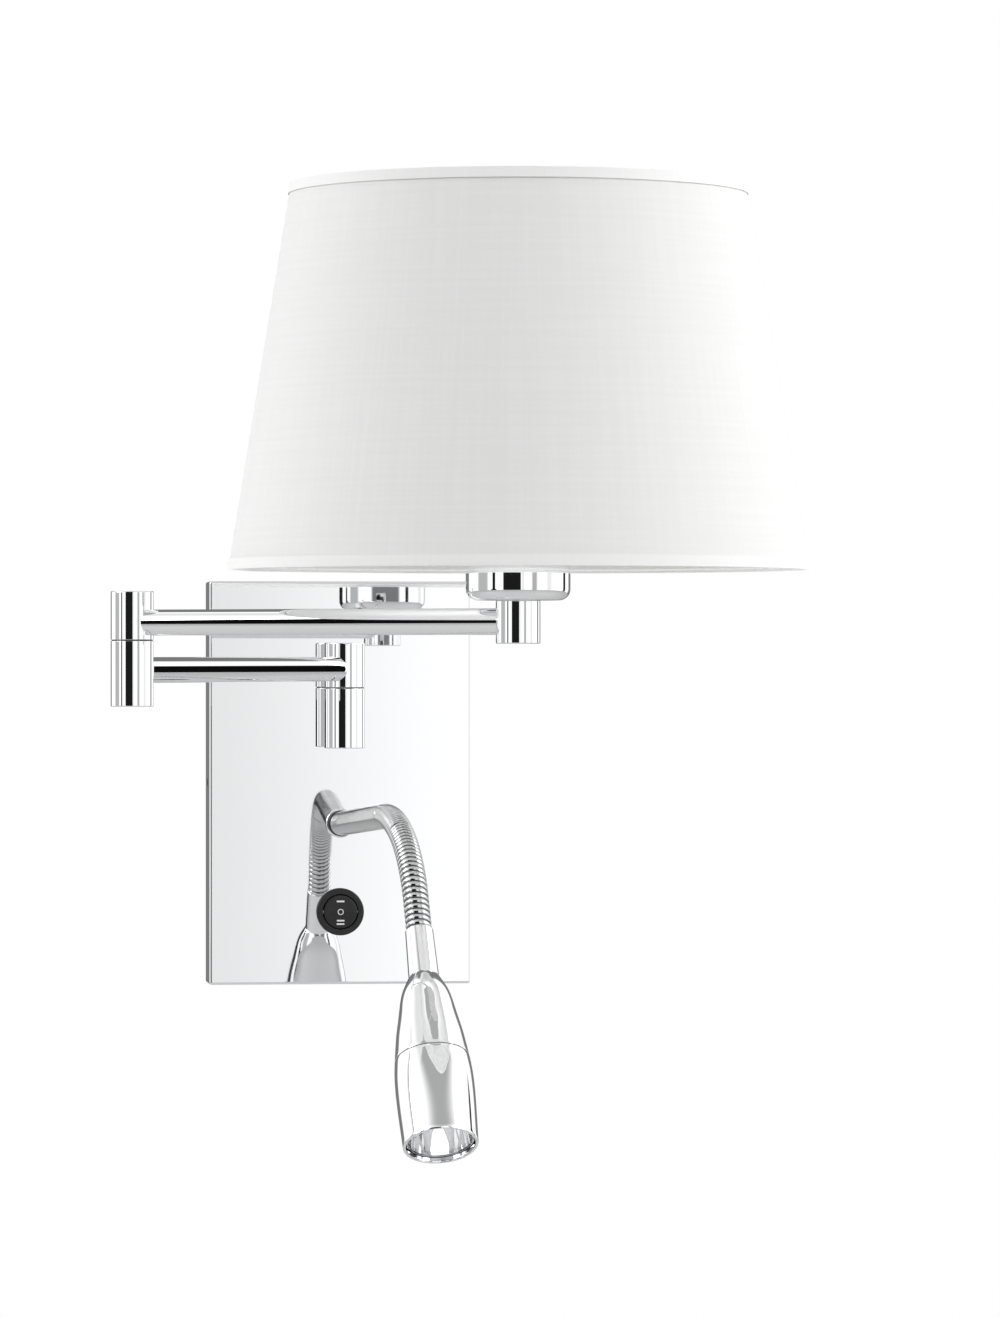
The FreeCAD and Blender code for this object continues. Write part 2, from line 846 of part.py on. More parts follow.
def rocker_block(lift):
    """The rocker's side profile, a low ridge, as a bar across X. Lift moves only the top outwards."""
    crest = plate_face - bezel_height / 2 - rocker_crest + rocker_pivot_depth - lift
    rim = plate_face - bezel_height / 2 - rocker_rim + rocker_pivot_depth - lift
    under = rocker_axis_y + rocker_under
    half = rocker_radius + 1
    profile = [(crest, 0), (rim, half), (under, half), (under, -half), (rim, -half), (crest, 0)]
    points = [at(-half, y, switch_height + z) for y, z in profile]
    return Part.Face(Part.makePolygon(points)).extrude(X * (2 * half))


def switch_rocker():
    bounds = rod(rocker_radius, 4 * rocker_radius, at(0, plate_face - 2 * rocker_radius, switch_height), Y)
    rocker = rocker_block(0.0).common(bounds)
    return rocker.cut(rocker_pin_rod(3 * rocker_radius, rocker_pin_radius + running_clearance))


def mark_bar(height):
    low = at(-mark_length / 2, plate_face - 2 * rocker_radius, switch_height + height - mark_width / 2)
    high = at(mark_length / 2, plate_face, switch_height + height + mark_width / 2)
    return block(low, high)


def rocker_marks():
    skin = rocker_block(mark_height).cut(rocker_block(0.0))
    ring_start = at(0, plate_face - 2 * rocker_radius, switch_height)
    ring = pipe(mark_ring_radius, mark_ring_radius - mark_width / 2, 2 * rocker_radius, ring_start, Y)
    heights = (mark_offset, -mark_offset + mark_pair_gap / 2, -mark_offset - mark_pair_gap / 2)
    shapes = [mark_bar(height) for height in heights] + [ring]
    return group([solid for shape in shapes for solid in skin.common(shape).Solids])


def switch_terminals():
    back = plate_face + switch_body_depth
    blades = []
    for height in (-terminal_pitch, 0.0, terminal_pitch):
        low = at(-terminal_width / 2, back, switch_height + height - terminal_thickness / 2)
        high = at(terminal_width / 2, back + terminal_length, switch_height + height + terminal_thickness / 2)
        blades.append(block(low, high))
    return group(blades)


# ---- Wiring inside the box ----

def led_driver():
    width, depth, height = driver_size
    left = -plate_width / 2 + plate_sheet + driver_margin
    bottom = -plate_height / 2 + plate_sheet + driver_margin
    body = block(at(left, plate_inside, bottom), at(left + width, plate_inside + depth, bottom + height))
    return round_edges(body, 2.0, lambda edge: abs(edge.BoundBox.YLength - depth) < 0.1)


def block_low():
    width, depth, height = block_size
    return at(-width / 2, bracket_front - depth, block_rise)


def terminal_block():
    width, depth, height = block_size
    low = block_low()
    body = block(low, low + at(width, depth, height))
    for place in block_screw_places():
        body = body.cut(rod(block_screw_radius, depth / 2, place, Y))
    return body


def block_screw_places():
    width, depth, height = block_size
    pitch = width / block_ways
    return [block_low() + at(pitch * (i + 0.5), 0, height / 2) for i in range(block_ways)]


def terminal_screws():
    depth = block_size[1]
    return group([rod(block_screw_radius, depth / 2 - 2, place + Y * 2, Y) for place in block_screw_places()])


def earth_screw():
    x, z = earth_screw_place
    head = rod(earth_screw_radius, 2.4, at(x, bracket_front, z), OUT)
    return head.fuse(rod(side_screw_radius, bracket_sheet, at(x, bracket_front, z), Y))


def supply_leads():
    block_top = block_rise + block_size[2]
    lead_y = bracket_front - block_size[1] / 2
    stub_level = at(0, 0, stub_height)
    feed = lead([
        at(-block_size[0] / block_ways, lead_y, block_top),
        at(-block_size[0] / block_ways, lead_y, stub_height),
        at(0, lead_y, stub_height),
        column_1 + stub_level,
        column_1 + Z * (pivot_nipple_top(column_1_seam) - lead_bend - lead_gap),
    ], lead_bend - 1)
    switched = lead([
        at(block_size[0] / block_ways, lead_y, block_rise),
        at(block_size[0] / block_ways, lead_y, switch_height + terminal_pitch),
        at(terminal_width / 2, lead_y, switch_height + terminal_pitch),
    ], lead_bend)
    width, depth, height = driver_size
    driver_top = -plate_height / 2 + plate_sheet + driver_margin + height
    driver_x = -plate_width / 2 + plate_sheet + driver_margin + width * 0.75
    neck_end = plate_face + bush_shank
    reading = lead([
        at(driver_x, lead_y, driver_top),
        at(driver_x, lead_y, neck_height),
        at(0, lead_y, neck_height),
        at(0, neck_end - 2, neck_height),
    ], lead_bend - 1)
    return group([feed, switched, reading])


parts = {
    "backplate_shell": backplate_shell,
    "shell_side_screws": shell_side_screws,
    "wall_bracket": wall_bracket,
    "front_stiffener": front_stiffener,
    "stub_tube": stub_tube,
    "stub_nipple": stub_nipple,
    "stub_nut": lambda: panel_nut(stub_height),
    "column_1_lower_sleeve": column_1_lower_sleeve,
    "pivot_1_nipple": lambda: pivot_nipple(column_1, column_1_seam),
    "pivot_1_nut": lambda: pivot_nut(column_1, column_1_seam),
    "pivot_1_washer": lambda: pivot_washer(column_1, column_1_seam),
    "column_1_upper_sleeve": lambda: turning_sleeve(
        column_1, column_1_seam, column_1_top, arm_1_heading, arm_1_height),
    "column_1_top_cap": lambda: top_cap(column_1, column_1_top),
    "arm_1_tube": lambda: arm_tube(column_1, column_2, arm_1_height),
    "arm_1_lead": arm_1_lead,
    "column_2_lower_sleeve": column_2_lower_sleeve,
    "pivot_2_nipple": lambda: pivot_nipple(column_2, column_2_seam),
    "pivot_2_nut": lambda: pivot_nut(column_2, column_2_seam),
    "pivot_2_washer": lambda: pivot_washer(column_2, column_2_seam),
    "column_2_upper_sleeve": lambda: turning_sleeve(
        column_2, column_2_seam, column_2_top, arm_2_heading, arm_2_height),
    "column_2_top_cap": lambda: top_cap(column_2, column_2_top),
    "arm_2_tube": lambda: arm_tube(column_2, column_3, arm_2_height),
    "arm_2_lead": arm_2_lead,
    "column_3_sleeve": column_3_sleeve,
    "lamp_nipple": lamp_nipple,
    "lamp_nut": lamp_nut,
    "shade_cup": shade_cup,
    "lampholder": lampholder,
    "shade_clamp_rings": shade_clamp_rings,
    "shade_frame": shade_frame,
    "shade_top_ring": shade_top_ring,
    "shade_cloth": shade_cloth,
    "bulb_cap": bulb_cap,
    "bulb_globe": bulb_globe,
    "neck_root_ring": neck_root_ring,
    "neck_bush": neck_bush,
    "neck_nut": lambda: panel_nut(neck_height),
    "neck_collar": neck_collar,
    "head_rear_shell": head_rear_shell,
    "head_front_shell": head_front_shell,
    "heat_sink": heat_sink,
    "led_board": led_board,
    "reflector": reflector,
    "head_lens": head_lens,
    "switch_housing": switch_housing,
    "switch_terminals": switch_terminals,
    "rocker_pin": rocker_pin,
    "switch_rocker": switch_rocker,
    "rocker_marks": rocker_marks,
    "led_driver": led_driver,
    "terminal_block": terminal_block,
    "terminal_screws": terminal_screws,
    "earth_screw": earth_screw,
    "supply_leads": supply_leads,
}

os.makedirs("parts", exist_ok=True)
for name, make in parts.items():
    save(name, make())
for number in range(1, neck_joints + 2):
    save("neck_segment_" + str(number), neck_segment(number))
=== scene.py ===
"""Swing arm wall lamp with a reading arm: its fine shapes, finishes, soft studio and camera."""

import json
import logging
import math
from dataclasses import dataclass, field
from enum import Enum
from typing import Any, Callable, Sequence

import bmesh
import bpy
from mathutils import Matrix, Vector


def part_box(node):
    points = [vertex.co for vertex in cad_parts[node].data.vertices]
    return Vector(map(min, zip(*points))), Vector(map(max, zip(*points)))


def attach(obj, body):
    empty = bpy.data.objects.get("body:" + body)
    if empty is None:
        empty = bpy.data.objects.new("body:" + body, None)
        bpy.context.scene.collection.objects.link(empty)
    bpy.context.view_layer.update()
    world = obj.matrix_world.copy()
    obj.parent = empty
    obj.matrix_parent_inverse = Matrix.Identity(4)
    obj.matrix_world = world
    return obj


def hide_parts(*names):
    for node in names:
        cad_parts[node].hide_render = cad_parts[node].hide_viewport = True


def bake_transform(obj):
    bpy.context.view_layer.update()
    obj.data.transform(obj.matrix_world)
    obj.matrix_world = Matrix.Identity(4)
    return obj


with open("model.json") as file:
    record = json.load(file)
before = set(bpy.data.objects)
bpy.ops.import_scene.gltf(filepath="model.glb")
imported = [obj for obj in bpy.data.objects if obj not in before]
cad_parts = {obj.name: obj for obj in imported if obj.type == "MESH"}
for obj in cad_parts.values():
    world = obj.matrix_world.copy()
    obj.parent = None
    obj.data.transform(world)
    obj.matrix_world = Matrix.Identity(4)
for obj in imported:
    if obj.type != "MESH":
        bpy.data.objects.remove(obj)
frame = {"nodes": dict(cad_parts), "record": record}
log = logging.getLogger("wall_lamp")

MM = 0.001
UP = Vector((0.0, 0.0, 1.0))
OUT = Vector((0.0, -1.0, 0.0))
SHARP_ANGLE = 32.0


def span(node: str) -> tuple[Vector, Vector]:
    """Returns a node's lowest and highest corners, in millimetres."""
    low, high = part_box(node)
    return Vector(low) / MM, Vector(high) / MM


def middle(node: str) -> Vector:
    """Returns the middle of a node's box, in millimetres."""
    return sum(span(node), Vector()) / 2


BOX_LOW, BOX_HIGH = span("backplate_shell")
BOX_FACE = BOX_LOW.y
LAMP_PLACE = middle("column_3_sleeve")


class Slot(Enum):
    """The record's material slots."""

    CHROME = "chrome"
    HOSE = "hose_chrome"
    ZINC = "zinc_steel"
    BRASS = "brass"
    WASHER = "black_washer"
    BLACK = "black_plastic"
    MARK = "mark_white"
    WHITE = "white_plastic"
    SLEEVE = "lead_sleeve"
    WIRE = "white_wire"
    FABRIC = "shade_fabric"
    FROSTED = "frosted_glass"
    CAP = "bulb_cap_metal"
    SINK = "sink_aluminium"
    BOARD = "board_white"
    REFLECTOR = "reflector_silver"
    LENS = "lens_clear"


class Body(Enum):
    """The bodies that pieces ride on."""

    BOX = "wall_box"
    ROCKER = "rocker"
    INNER_ARM = "inner_arm"
    OUTER_ARM = "outer_arm"
    HEAD = "reading_head"


# ---------------------------------------------------------------- node trees


@dataclass
class NodeSketch:
    """Adds nodes to a tree and links them."""

    tree: bpy.types.NodeTree

    def add(self, kind: str, inputs: dict[Any, Any] | None = None, **settings: Any) -> bpy.types.Node:
        """Adds one node.

        Args:
            kind: The node's type name.
            inputs: Values or output sockets for its inputs, by name or number.
            settings: Properties of the node itself.

        Returns:
            The new node.
        """
        node = self.tree.nodes.new(kind)
        for key, value in settings.items():
            setattr(node, key, value)
        for key, value in (inputs or {}).items():
            if isinstance(value, bpy.types.NodeSocket):
                self.tree.links.new(value, node.inputs[key])
            else:
                node.inputs[key].default_value = value
        return node

    def maths(self, operation: str, *values: Any) -> bpy.types.NodeSocket:
        """Adds a math node and returns its result."""
        kind = "ShaderNodeMath"
        return self.add(kind, dict(enumerate(values)), operation=operation).outputs[0]

    def ramp(self, value: Any, start: float, end: float, low: float, high: float) -> bpy.types.NodeSocket:
        """Maps a value from start..end to low..high, smoothly, and returns the result."""
        inputs = {"Value": value, "From Min": start, "From Max": end, "To Min": low, "To Max": high}
        return self.add("ShaderNodeMapRange", inputs, interpolation_type="SMOOTHSTEP").outputs["Result"]

    def window(self, value: Any, low: float, high: float, soft: float) -> bpy.types.NodeSocket:
        """Returns 1 between low and high, and 0 outside, with soft edges.

        Args:
            value: The value to test.
            low: Where the window starts.
            high: Where it ends.
            soft: Half the width of each soft edge.

        Returns:
            The window's value.
        """
        rise = self.ramp(value, low - soft, low + soft, 0.0, 1.0)
        fall = self.ramp(value, high - soft, high + soft, 1.0, 0.0)
        return self.maths("MULTIPLY", rise, fall)

    def noise(self, vector: Any, scale: float, detail: float = 3.0) -> bpy.types.NodeSocket:
        """Adds a noise texture and returns its value."""
        inputs = {"Vector": vector, "Scale": scale, "Detail": detail}
        return self.add("ShaderNodeTexNoise", inputs).outputs[0]

    def tint(self, factor: Any, first: Sequence[float], second: Sequence[float]) -> bpy.types.NodeSocket:
        """Mixes two colours by a factor and returns the result."""
        node = self.add("ShaderNodeMix", {0: factor, 6: (*first, 1.0), 7: (*second, 1.0)}, data_type="RGBA")
        return node.outputs[2]

    def bump(self, height: Any, distance: float, strength: float = 1.0) -> bpy.types.NodeSocket:
        """Adds a bump node, with its distance in metres, and returns its normal."""
        inputs = {"Height": height, "Distance": distance, "Strength": strength}
        return self.add("ShaderNodeBump", inputs).outputs["Normal"]


# ---------------------------------------------------------------- finishes


@dataclass(frozen=True)
class Finish:
    """A plain finish: a slightly uneven colour, uneven gloss, and a fine grain."""

    name: str
    colour: tuple[float, float, float]
    roughness: float
    metallic: float = 0.0
    second_colour: tuple[float, float, float] | None = None
    patch_scale: float = 40.0
    gloss_spread: float = 0.04
    grain_scale: float = 1500.0
    grain_depth: float = 0.00001
    specular: float = 0.5
    coat: float = 0.0
    stretch: tuple[float, float, float] = (1.0, 1.0, 1.0)

    def material(self) -> bpy.types.Material:
        """Returns the material, made on its first use."""
        known = bpy.data.materials.get(self.name)
        return known or self.make()

    def make(self) -> bpy.types.Material:
        """Makes the material with its nodes.

        Returns:
            The new material.
        """
        material = bpy.data.materials.new(self.name)
        material.use_nodes = True
        material.node_tree.nodes.clear()
        sketch = NodeSketch(material.node_tree)
        shader = sketch.add("ShaderNodeBsdfPrincipled")
        output = sketch.add("ShaderNodeOutputMaterial")
        sketch.tree.links.new(shader.outputs[0], output.inputs["Surface"])
        shader.inputs["Metallic"].default_value = self.metallic
        shader.inputs["Specular IOR Level"].default_value = self.specular
        shader.inputs["Coat Weight"].default_value = self.coat
        self.shade(sketch, shader)
        return material

    def place(self, sketch: NodeSketch) -> bpy.types.NodeSocket:
        """Returns the coordinates that the pattern follows."""
        where = sketch.add("ShaderNodeTexCoord").outputs["Object"]
        return sketch.add("ShaderNodeMapping", {"Vector": where, "Scale": self.stretch}).outputs[0]

    def shade(self, sketch: NodeSketch, shader: bpy.types.Node) -> None:
        """Joins the colour, gloss and grain to the shader.

        Args:
            sketch: The material's tree.
            shader: The shader that takes them.
        """
        place = self.place(sketch)
        links = sketch.tree.links
        patches = sketch.noise(place, self.patch_scale)
        second = self.second_colour or tuple(0.93 * c for c in self.colour)
        uneven = sketch.ramp(patches, 0.35, 0.7, 0.0, 1.0)
        links.new(sketch.tint(uneven, self.colour, second), shader.inputs["Base Color"])
        low = max(self.roughness - self.gloss_spread, 0.0)
        gloss = sketch.ramp(patches, 0.3, 0.75, low, self.roughness + self.gloss_spread)
        links.new(gloss, shader.inputs["Roughness"])
        grain = sketch.noise(place, self.grain_scale, 2.0)
        links.new(sketch.bump(grain, self.grain_depth), shader.inputs["Normal"])


@dataclass(frozen=True)
class MirrorChrome(Finish):
    """Bright chrome plate: nearly a mirror, with the faintest haze."""

    def shade(self, sketch: NodeSketch, shader: bpy.types.Node) -> None:
        """Joins a clean mirror with a little haze in patches to the shader.

        Args:
            sketch: The tree that takes the nodes.
            shader: The shader that takes them.
        """
        place = self.place(sketch)
        haze = sketch.noise(place, self.patch_scale)
        links = sketch.tree.links
        second = self.second_colour or self.colour
        links.new(sketch.tint(haze, self.colour, second), shader.inputs["Base Color"])
        gloss = sketch.ramp(haze, 0.35, 0.8, self.roughness, self.roughness + self.gloss_spread)
        links.new(gloss, shader.inputs["Roughness"])
        ripple = sketch.noise(place, self.grain_scale, 1.0)
        links.new(sketch.bump(ripple, self.grain_depth, 0.3), shader.inputs["Normal"])


@dataclass(frozen=True)
class RibbedChrome(Finish):
    """Chrome on the spiral hose, duller down between its turns, where its colour is darkened as painted
    shade.
    """

    # The near-black colour painted into the grooves as shade.
    groove: tuple[float, float, float] = (0.07, 0.07, 0.075)

    def shade(self, sketch: NodeSketch, shader: bpy.types.Node) -> None:
        """Joins the rib's height, carried by the mesh, to the gloss, and to a colour darkened as painted
        shade in the grooves.

        Args:
            sketch: The tree that takes the nodes.
            shader: The shader that takes them.
        """
        rib = sketch.add("ShaderNodeAttribute", attribute_name="rib").outputs["Fac"]
        place = self.place(sketch)
        smear = sketch.noise(place, self.patch_scale)
        smeared = sketch.maths("MULTIPLY_ADD", smear, 0.08, rib)
        crest = sketch.ramp(smeared, 0.25, 0.8, 0.0, 1.0)
        links = sketch.tree.links
        # Painted shade: the colour falls from the chrome's own to the groove colour down between the ribs.
        links.new(sketch.tint(crest, self.groove, self.colour), shader.inputs["Base Color"])
        links.new(sketch.ramp(crest, 0.0, 1.0, 0.3, self.roughness), shader.inputs["Roughness"])


@dataclass(frozen=True)
class WovenCloth(Finish):
    """Fine plain weave on the shade, with a thicker thread here and there."""

    thread: float = 0.00042
    weave_depth: float = 0.00006

    def place(self, sketch: NodeSketch) -> bpy.types.NodeSocket:
        """Returns the cloth's own coordinates, in metres along its threads."""
        return sketch.add("ShaderNodeUVMap", uv_map="cloth").outputs["UV"]

    def shade(self, sketch: NodeSketch, shader: bpy.types.Node) -> None:
        """Joins warp and weft to the colour, gloss and relief of the cloth.

        Args:
            sketch: The material's tree.
            shader: The shader that takes them.
        """
        place = self.place(sketch)
        split = sketch.add("ShaderNodeSeparateXYZ", {0: place})
        turn = 2.0 * math.pi / self.thread
        wander = sketch.maths("MULTIPLY", sketch.noise(place, 160.0), 2.2)
        warp_phase = sketch.maths("MULTIPLY_ADD", split.outputs[0], turn, wander)
        weft_phase = sketch.maths("MULTIPLY_ADD", split.outputs[1], turn, wander)
        warp = sketch.maths("SINE", warp_phase)
        weft = sketch.maths("SINE", weft_phase)
        weave = sketch.maths("MULTIPLY_ADD", sketch.maths("MULTIPLY", warp, weft), 0.5, 0.5)
        long_way = sketch.add("ShaderNodeMapping", {"Vector": place, "Scale": (500.0, 9.0, 1.0)}).outputs[0]
        cross_way = sketch.add("ShaderNodeMapping", {"Vector": place, "Scale": (9.0, 500.0, 1.0)}).outputs[0]
        slub = sketch.maths("ADD", sketch.noise(long_way, 1.0, 2.0), sketch.noise(cross_way, 1.0, 2.0))
        thick = sketch.ramp(slub, 0.85, 1.25, 0.0, 1.0)
        height = sketch.maths("MULTIPLY_ADD", thick, 0.5, weave)
        links = sketch.tree.links
        second = self.second_colour or self.colour
        # Painted shade: the colour is darker in the dips between crossing threads, and lighter on the thick
        # threads.
        shadow = sketch.maths("MULTIPLY_ADD", weave, 0.55, sketch.maths("MULTIPLY", thick, 0.45))
        links.new(sketch.tint(shadow, second, self.colour), shader.inputs["Base Color"])
        links.new(sketch.ramp(weave, 0.0, 1.0, 0.95, 0.8), shader.inputs["Roughness"])
        links.new(sketch.bump(height, self.weave_depth, 0.6), shader.inputs["Normal"])
        shader.inputs["Sheen Weight"].default_value = 0.12
        shader.inputs["Sheen Roughness"].default_value = 0.5


@dataclass(frozen=True)
class FrostedGlass(Finish):
    """Frosted white glass of the bulb."""

    def shade(self, sketch: NodeSketch, shader: bpy.types.Node) -> None:
        """Joins a fine etched grain to the glass and lets light through it.

        Args:
            sketch: The tree that takes the nodes.
            shader: The shader that takes them.
        """
        super().shade(sketch, shader)
        shader.inputs["Transmission Weight"].default_value = 0.15
        shader.inputs["Subsurface Weight"].default_value = 0.3
        shader.inputs["Subsurface Radius"].default_value = (0.01, 0.01, 0.01)


@dataclass(frozen=True)
class ClearLens(Finish):
    """Clear moulded lens in the reading head's mouth."""

    def shade(self, sketch: NodeSketch, shader: bpy.types.Node) -> None:
        """Joins a barely uneven gloss to a clear body.

        Args:
            sketch: The tree that takes the nodes.
            shader: The shader that takes them.
        """
        haze = sketch.noise(self.place(sketch), self.patch_scale)
        links = sketch.tree.links
        links.new(sketch.tint(haze, self.colour, (0.99, 0.99, 1.0)), shader.inputs["Base Color"])
        links.new(sketch.ramp(haze, 0.3, 0.8, self.roughness, 0.02), shader.inputs["Roughness"])
        shader.inputs["Transmission Weight"].default_value = 1.0
        shader.inputs["IOR"].default_value = 1.35


FINISHES: dict[Slot, Finish] = {
    Slot.CHROME: MirrorChrome(
        "bright_chrome", (0.955, 0.96, 0.965), 0.012, metallic=1.0, second_colour=(0.935, 0.94, 0.95),
        patch_scale=14.0, gloss_spread=0.02, grain_scale=9.0, grain_depth=0.000002,
    ),
    Slot.HOSE: RibbedChrome("ribbed_chrome", (0.70, 0.705, 0.71), 0.07, metallic=1.0, patch_scale=120.0),
    Slot.ZINC: Finish(
        "zinc_plate", (0.62, 0.62, 0.60), 0.38, metallic=1.0, second_colour=(0.52, 0.53, 0.53),
        patch_scale=90.0, gloss_spread=0.1, grain_scale=2500.0, grain_depth=0.00002,
    ),
    Slot.BRASS: Finish(
        "turned_brass", (0.74, 0.58, 0.29), 0.3, metallic=1.0, second_colour=(0.63, 0.48, 0.22),
        patch_scale=120.0, gloss_spread=0.08,
    ),
    Slot.WASHER: Finish("black_nylon", (0.03, 0.03, 0.03), 0.55),
    Slot.BLACK: Finish(
        "black_moulding", (0.009, 0.009, 0.0095), 0.42, second_colour=(0.013, 0.013, 0.0135),
        patch_scale=60.0, gloss_spread=0.06, grain_scale=5200.0, grain_depth=0.000025,
    ),
    Slot.MARK: Finish("printed_white", (0.86, 0.86, 0.85), 0.4),
    Slot.WHITE: Finish(
        "white_moulding", (0.86, 0.86, 0.84), 0.35, second_colour=(0.82, 0.82, 0.80), patch_scale=50.0,
        gloss_spread=0.06, grain_scale=3000.0, grain_depth=0.00002,
    ),
    Slot.SLEEVE: Finish("lead_insulation", (0.80, 0.80, 0.78), 0.45),
    Slot.WIRE: Finish(
        "white_coated_wire", (0.88, 0.88, 0.87), 0.3, second_colour=(0.84, 0.84, 0.83),
        patch_scale=90.0, gloss_spread=0.05, grain_scale=900.0, grain_depth=0.00003, coat=0.2,
    ),
    Slot.FABRIC: WovenCloth(
        "white_weave", (0.915, 0.915, 0.91), 0.85, second_colour=(0.87, 0.87, 0.865),
    ),
    Slot.FROSTED: FrostedGlass(
        "frosted_glass", (0.94, 0.94, 0.93), 0.4, second_colour=(0.91, 0.91, 0.90), patch_scale=30.0,
        gloss_spread=0.05, grain_scale=7000.0, grain_depth=0.00001,
    ),
    Slot.CAP: Finish(
        "rolled_aluminium", (0.80, 0.80, 0.79), 0.25, metallic=1.0, second_colour=(0.7, 0.7, 0.69),
        patch_scale=150.0, gloss_spread=0.08,
    ),
    Slot.SINK: Finish(
        "extruded_aluminium", (0.72, 0.72, 0.73), 0.36, metallic=1.0, patch_scale=200.0,
        gloss_spread=0.08, grain_scale=1200.0, grain_depth=0.00003, stretch=(1.0, 1.0, 0.06),
    ),
    Slot.BOARD: Finish("white_solder_mask", (0.88, 0.88, 0.86), 0.4),
    Slot.REFLECTOR: Finish(
        "bright_metallised", (0.94, 0.94, 0.95), 0.03, metallic=1.0, second_colour=(0.91, 0.91, 0.92),
        patch_scale=90.0, gloss_spread=0.015, grain_scale=60.0, grain_depth=0.000004,
    ),
    Slot.LENS: ClearLens("clear_lens", (0.96, 0.97, 0.98), 0.01),
}
LINER = Finish(
    "shade_liner", (0.93, 0.93, 0.925), 0.42, second_colour=(0.91, 0.91, 0.905), patch_scale=25.0,
    gloss_spread=0.05, grain_scale=1800.0, grain_depth=0.00002,
)
HEM = WovenCloth(
    "hem_tape", (0.96, 0.96, 0.955), 0.85, second_colour=(0.92, 0.92, 0.915), thread=0.0006,
    weave_depth=0.00003,
)
PHOSPHOR = Finish(
    "led_phosphor", (0.88, 0.71, 0.16), 0.5, second_colour=(0.82, 0.64, 0.12), patch_scale=900.0,
)
FLOOR_PAINT = Finish(
    "pale_floor", (0.58, 0.58, 0.58), 0.7, second_colour=(0.57, 0.57, 0.57), patch_scale=3.0,
)


# ---------------------------------------------------------------- shaping, in millimetres


@dataclass(frozen=True)
class Corner:
    """A corner of a turned outline: radius from the axis, height along it, and how far it is rounded."""

    r: float
    h: float
    rounding: float = 0.0


@dataclass(frozen=True)
class Axis:
    """The axis of a turned piece."""

    start: Vector
    direction: Vector

    def matrix(self) -> Matrix:
        """Returns the transform from the piece's own space to the lamp's."""
        return Matrix.Translation(self.start) @ UP.rotation_difference(self.direction).to_matrix().to_4x4()


def rounded(corners: Sequence[Corner], closed: bool = False, steps: int = 6) -> list[tuple[float, float]]:
    """Rounds the corners of an outline, with a line held close to each end of an arc.

    Args:
        corners: The outline's corners in order.
        closed: Whether the last corner joins the first.
        steps: The number of steps in each arc.

    Returns:
        The outline's points, as radius and height.
    """
    points: list[tuple[float, float]] = []
    for i, corner in enumerate(corners):
        here = Vector((corner.r, corner.h))
        at_end = not closed and i in (0, len(corners) - 1)
        if corner.rounding <= 0.0 or at_end:
            points.append(tuple(here))
            continue
        before = corners[i - 1]
        after = corners[(i + 1) % len(corners)]
        back = (Vector((before.r, before.h)) - here).normalized()
        ahead = (Vector((after.r, after.h)) - here).normalized()
        half = back.angle(ahead) / 2
        setback = corner.rounding / math.tan(half)
        centre = here + (back + ahead).normalized() * (corner.rounding / math.sin(half))
        hold = 0.12 * corner.rounding
        points.append(tuple(here + back * (setback + hold)))
        arm_start = here + back * setback - centre
        arm_end = here + ahead * setback - centre
        sweep = math.pi - 2 * half
        for k in range(steps + 1):
            share = k / steps
            arm = arm_start * math.sin((1 - share) * sweep) + arm_end * math.sin(share * sweep)
            points.append(tuple(centre + arm / math.sin(sweep)))
        points.append(tuple(here + ahead * (setback + hold)))
    return points


def eased(points: Sequence[tuple[float, float]], at: float) -> float:
    """Reads a smooth curve through points.

    Args:
        points: Pairs of place and value, in order of place.
        at: The place to read.

    Returns:
        The curve's value there.
    """
    last = len(points) - 1
    i = max(0, min(last - 1, sum(place <= at for place, _ in points) - 1))

    def slope(n: int) -> float:
        """Returns the curve's slope at a point."""
        low, high = max(n - 1, 0), min(n + 1, last)
        return (points[high][1] - points[low][1]) / (points[high][0] - points[low][0])

    (x0, y0), (x1, y1) = points[i], points[i + 1]
    width = x1 - x0
    t = (at - x0) / width
    first = (2 * t**3 - 3 * t**2 + 1) * y0 + (t**3 - 2 * t**2 + t) * width * slope(i)
    return first + (3 * t**2 - 2 * t**3) * y1 + (t**3 - t**2) * width * slope(i + 1)


def finished(
    name: str, bm: bmesh.types.BMesh, place: Matrix | None = None, sharp: float = SHARP_ANGLE
) -> bpy.types.Object:
    """Turns a mesh in millimetres into an object in metres, with its faces outwards.

    Args:
        name: The object's name.
        bm: The mesh, which is used up.
        place: Where it goes, if it isn't already there.
        sharp: The angle past which an edge stays sharp, in degrees.

    Returns:
        The object.
    """
    bmesh.ops.remove_doubles(bm, verts=bm.verts, dist=0.0005)
    bmesh.ops.recalc_face_normals(bm, faces=bm.faces)
    bm.transform(Matrix.Scale(MM, 4) @ (place or Matrix.Identity(4)))
    mesh = bpy.data.meshes.new(name)
    bm.to_mesh(mesh)
    bm.free()
    mesh.shade_smooth()
    mesh.set_sharp_from_angle(angle=math.radians(sharp))
    piece = bpy.data.objects.new(name, mesh)
    bpy.context.scene.collection.objects.link(piece)
    return piece


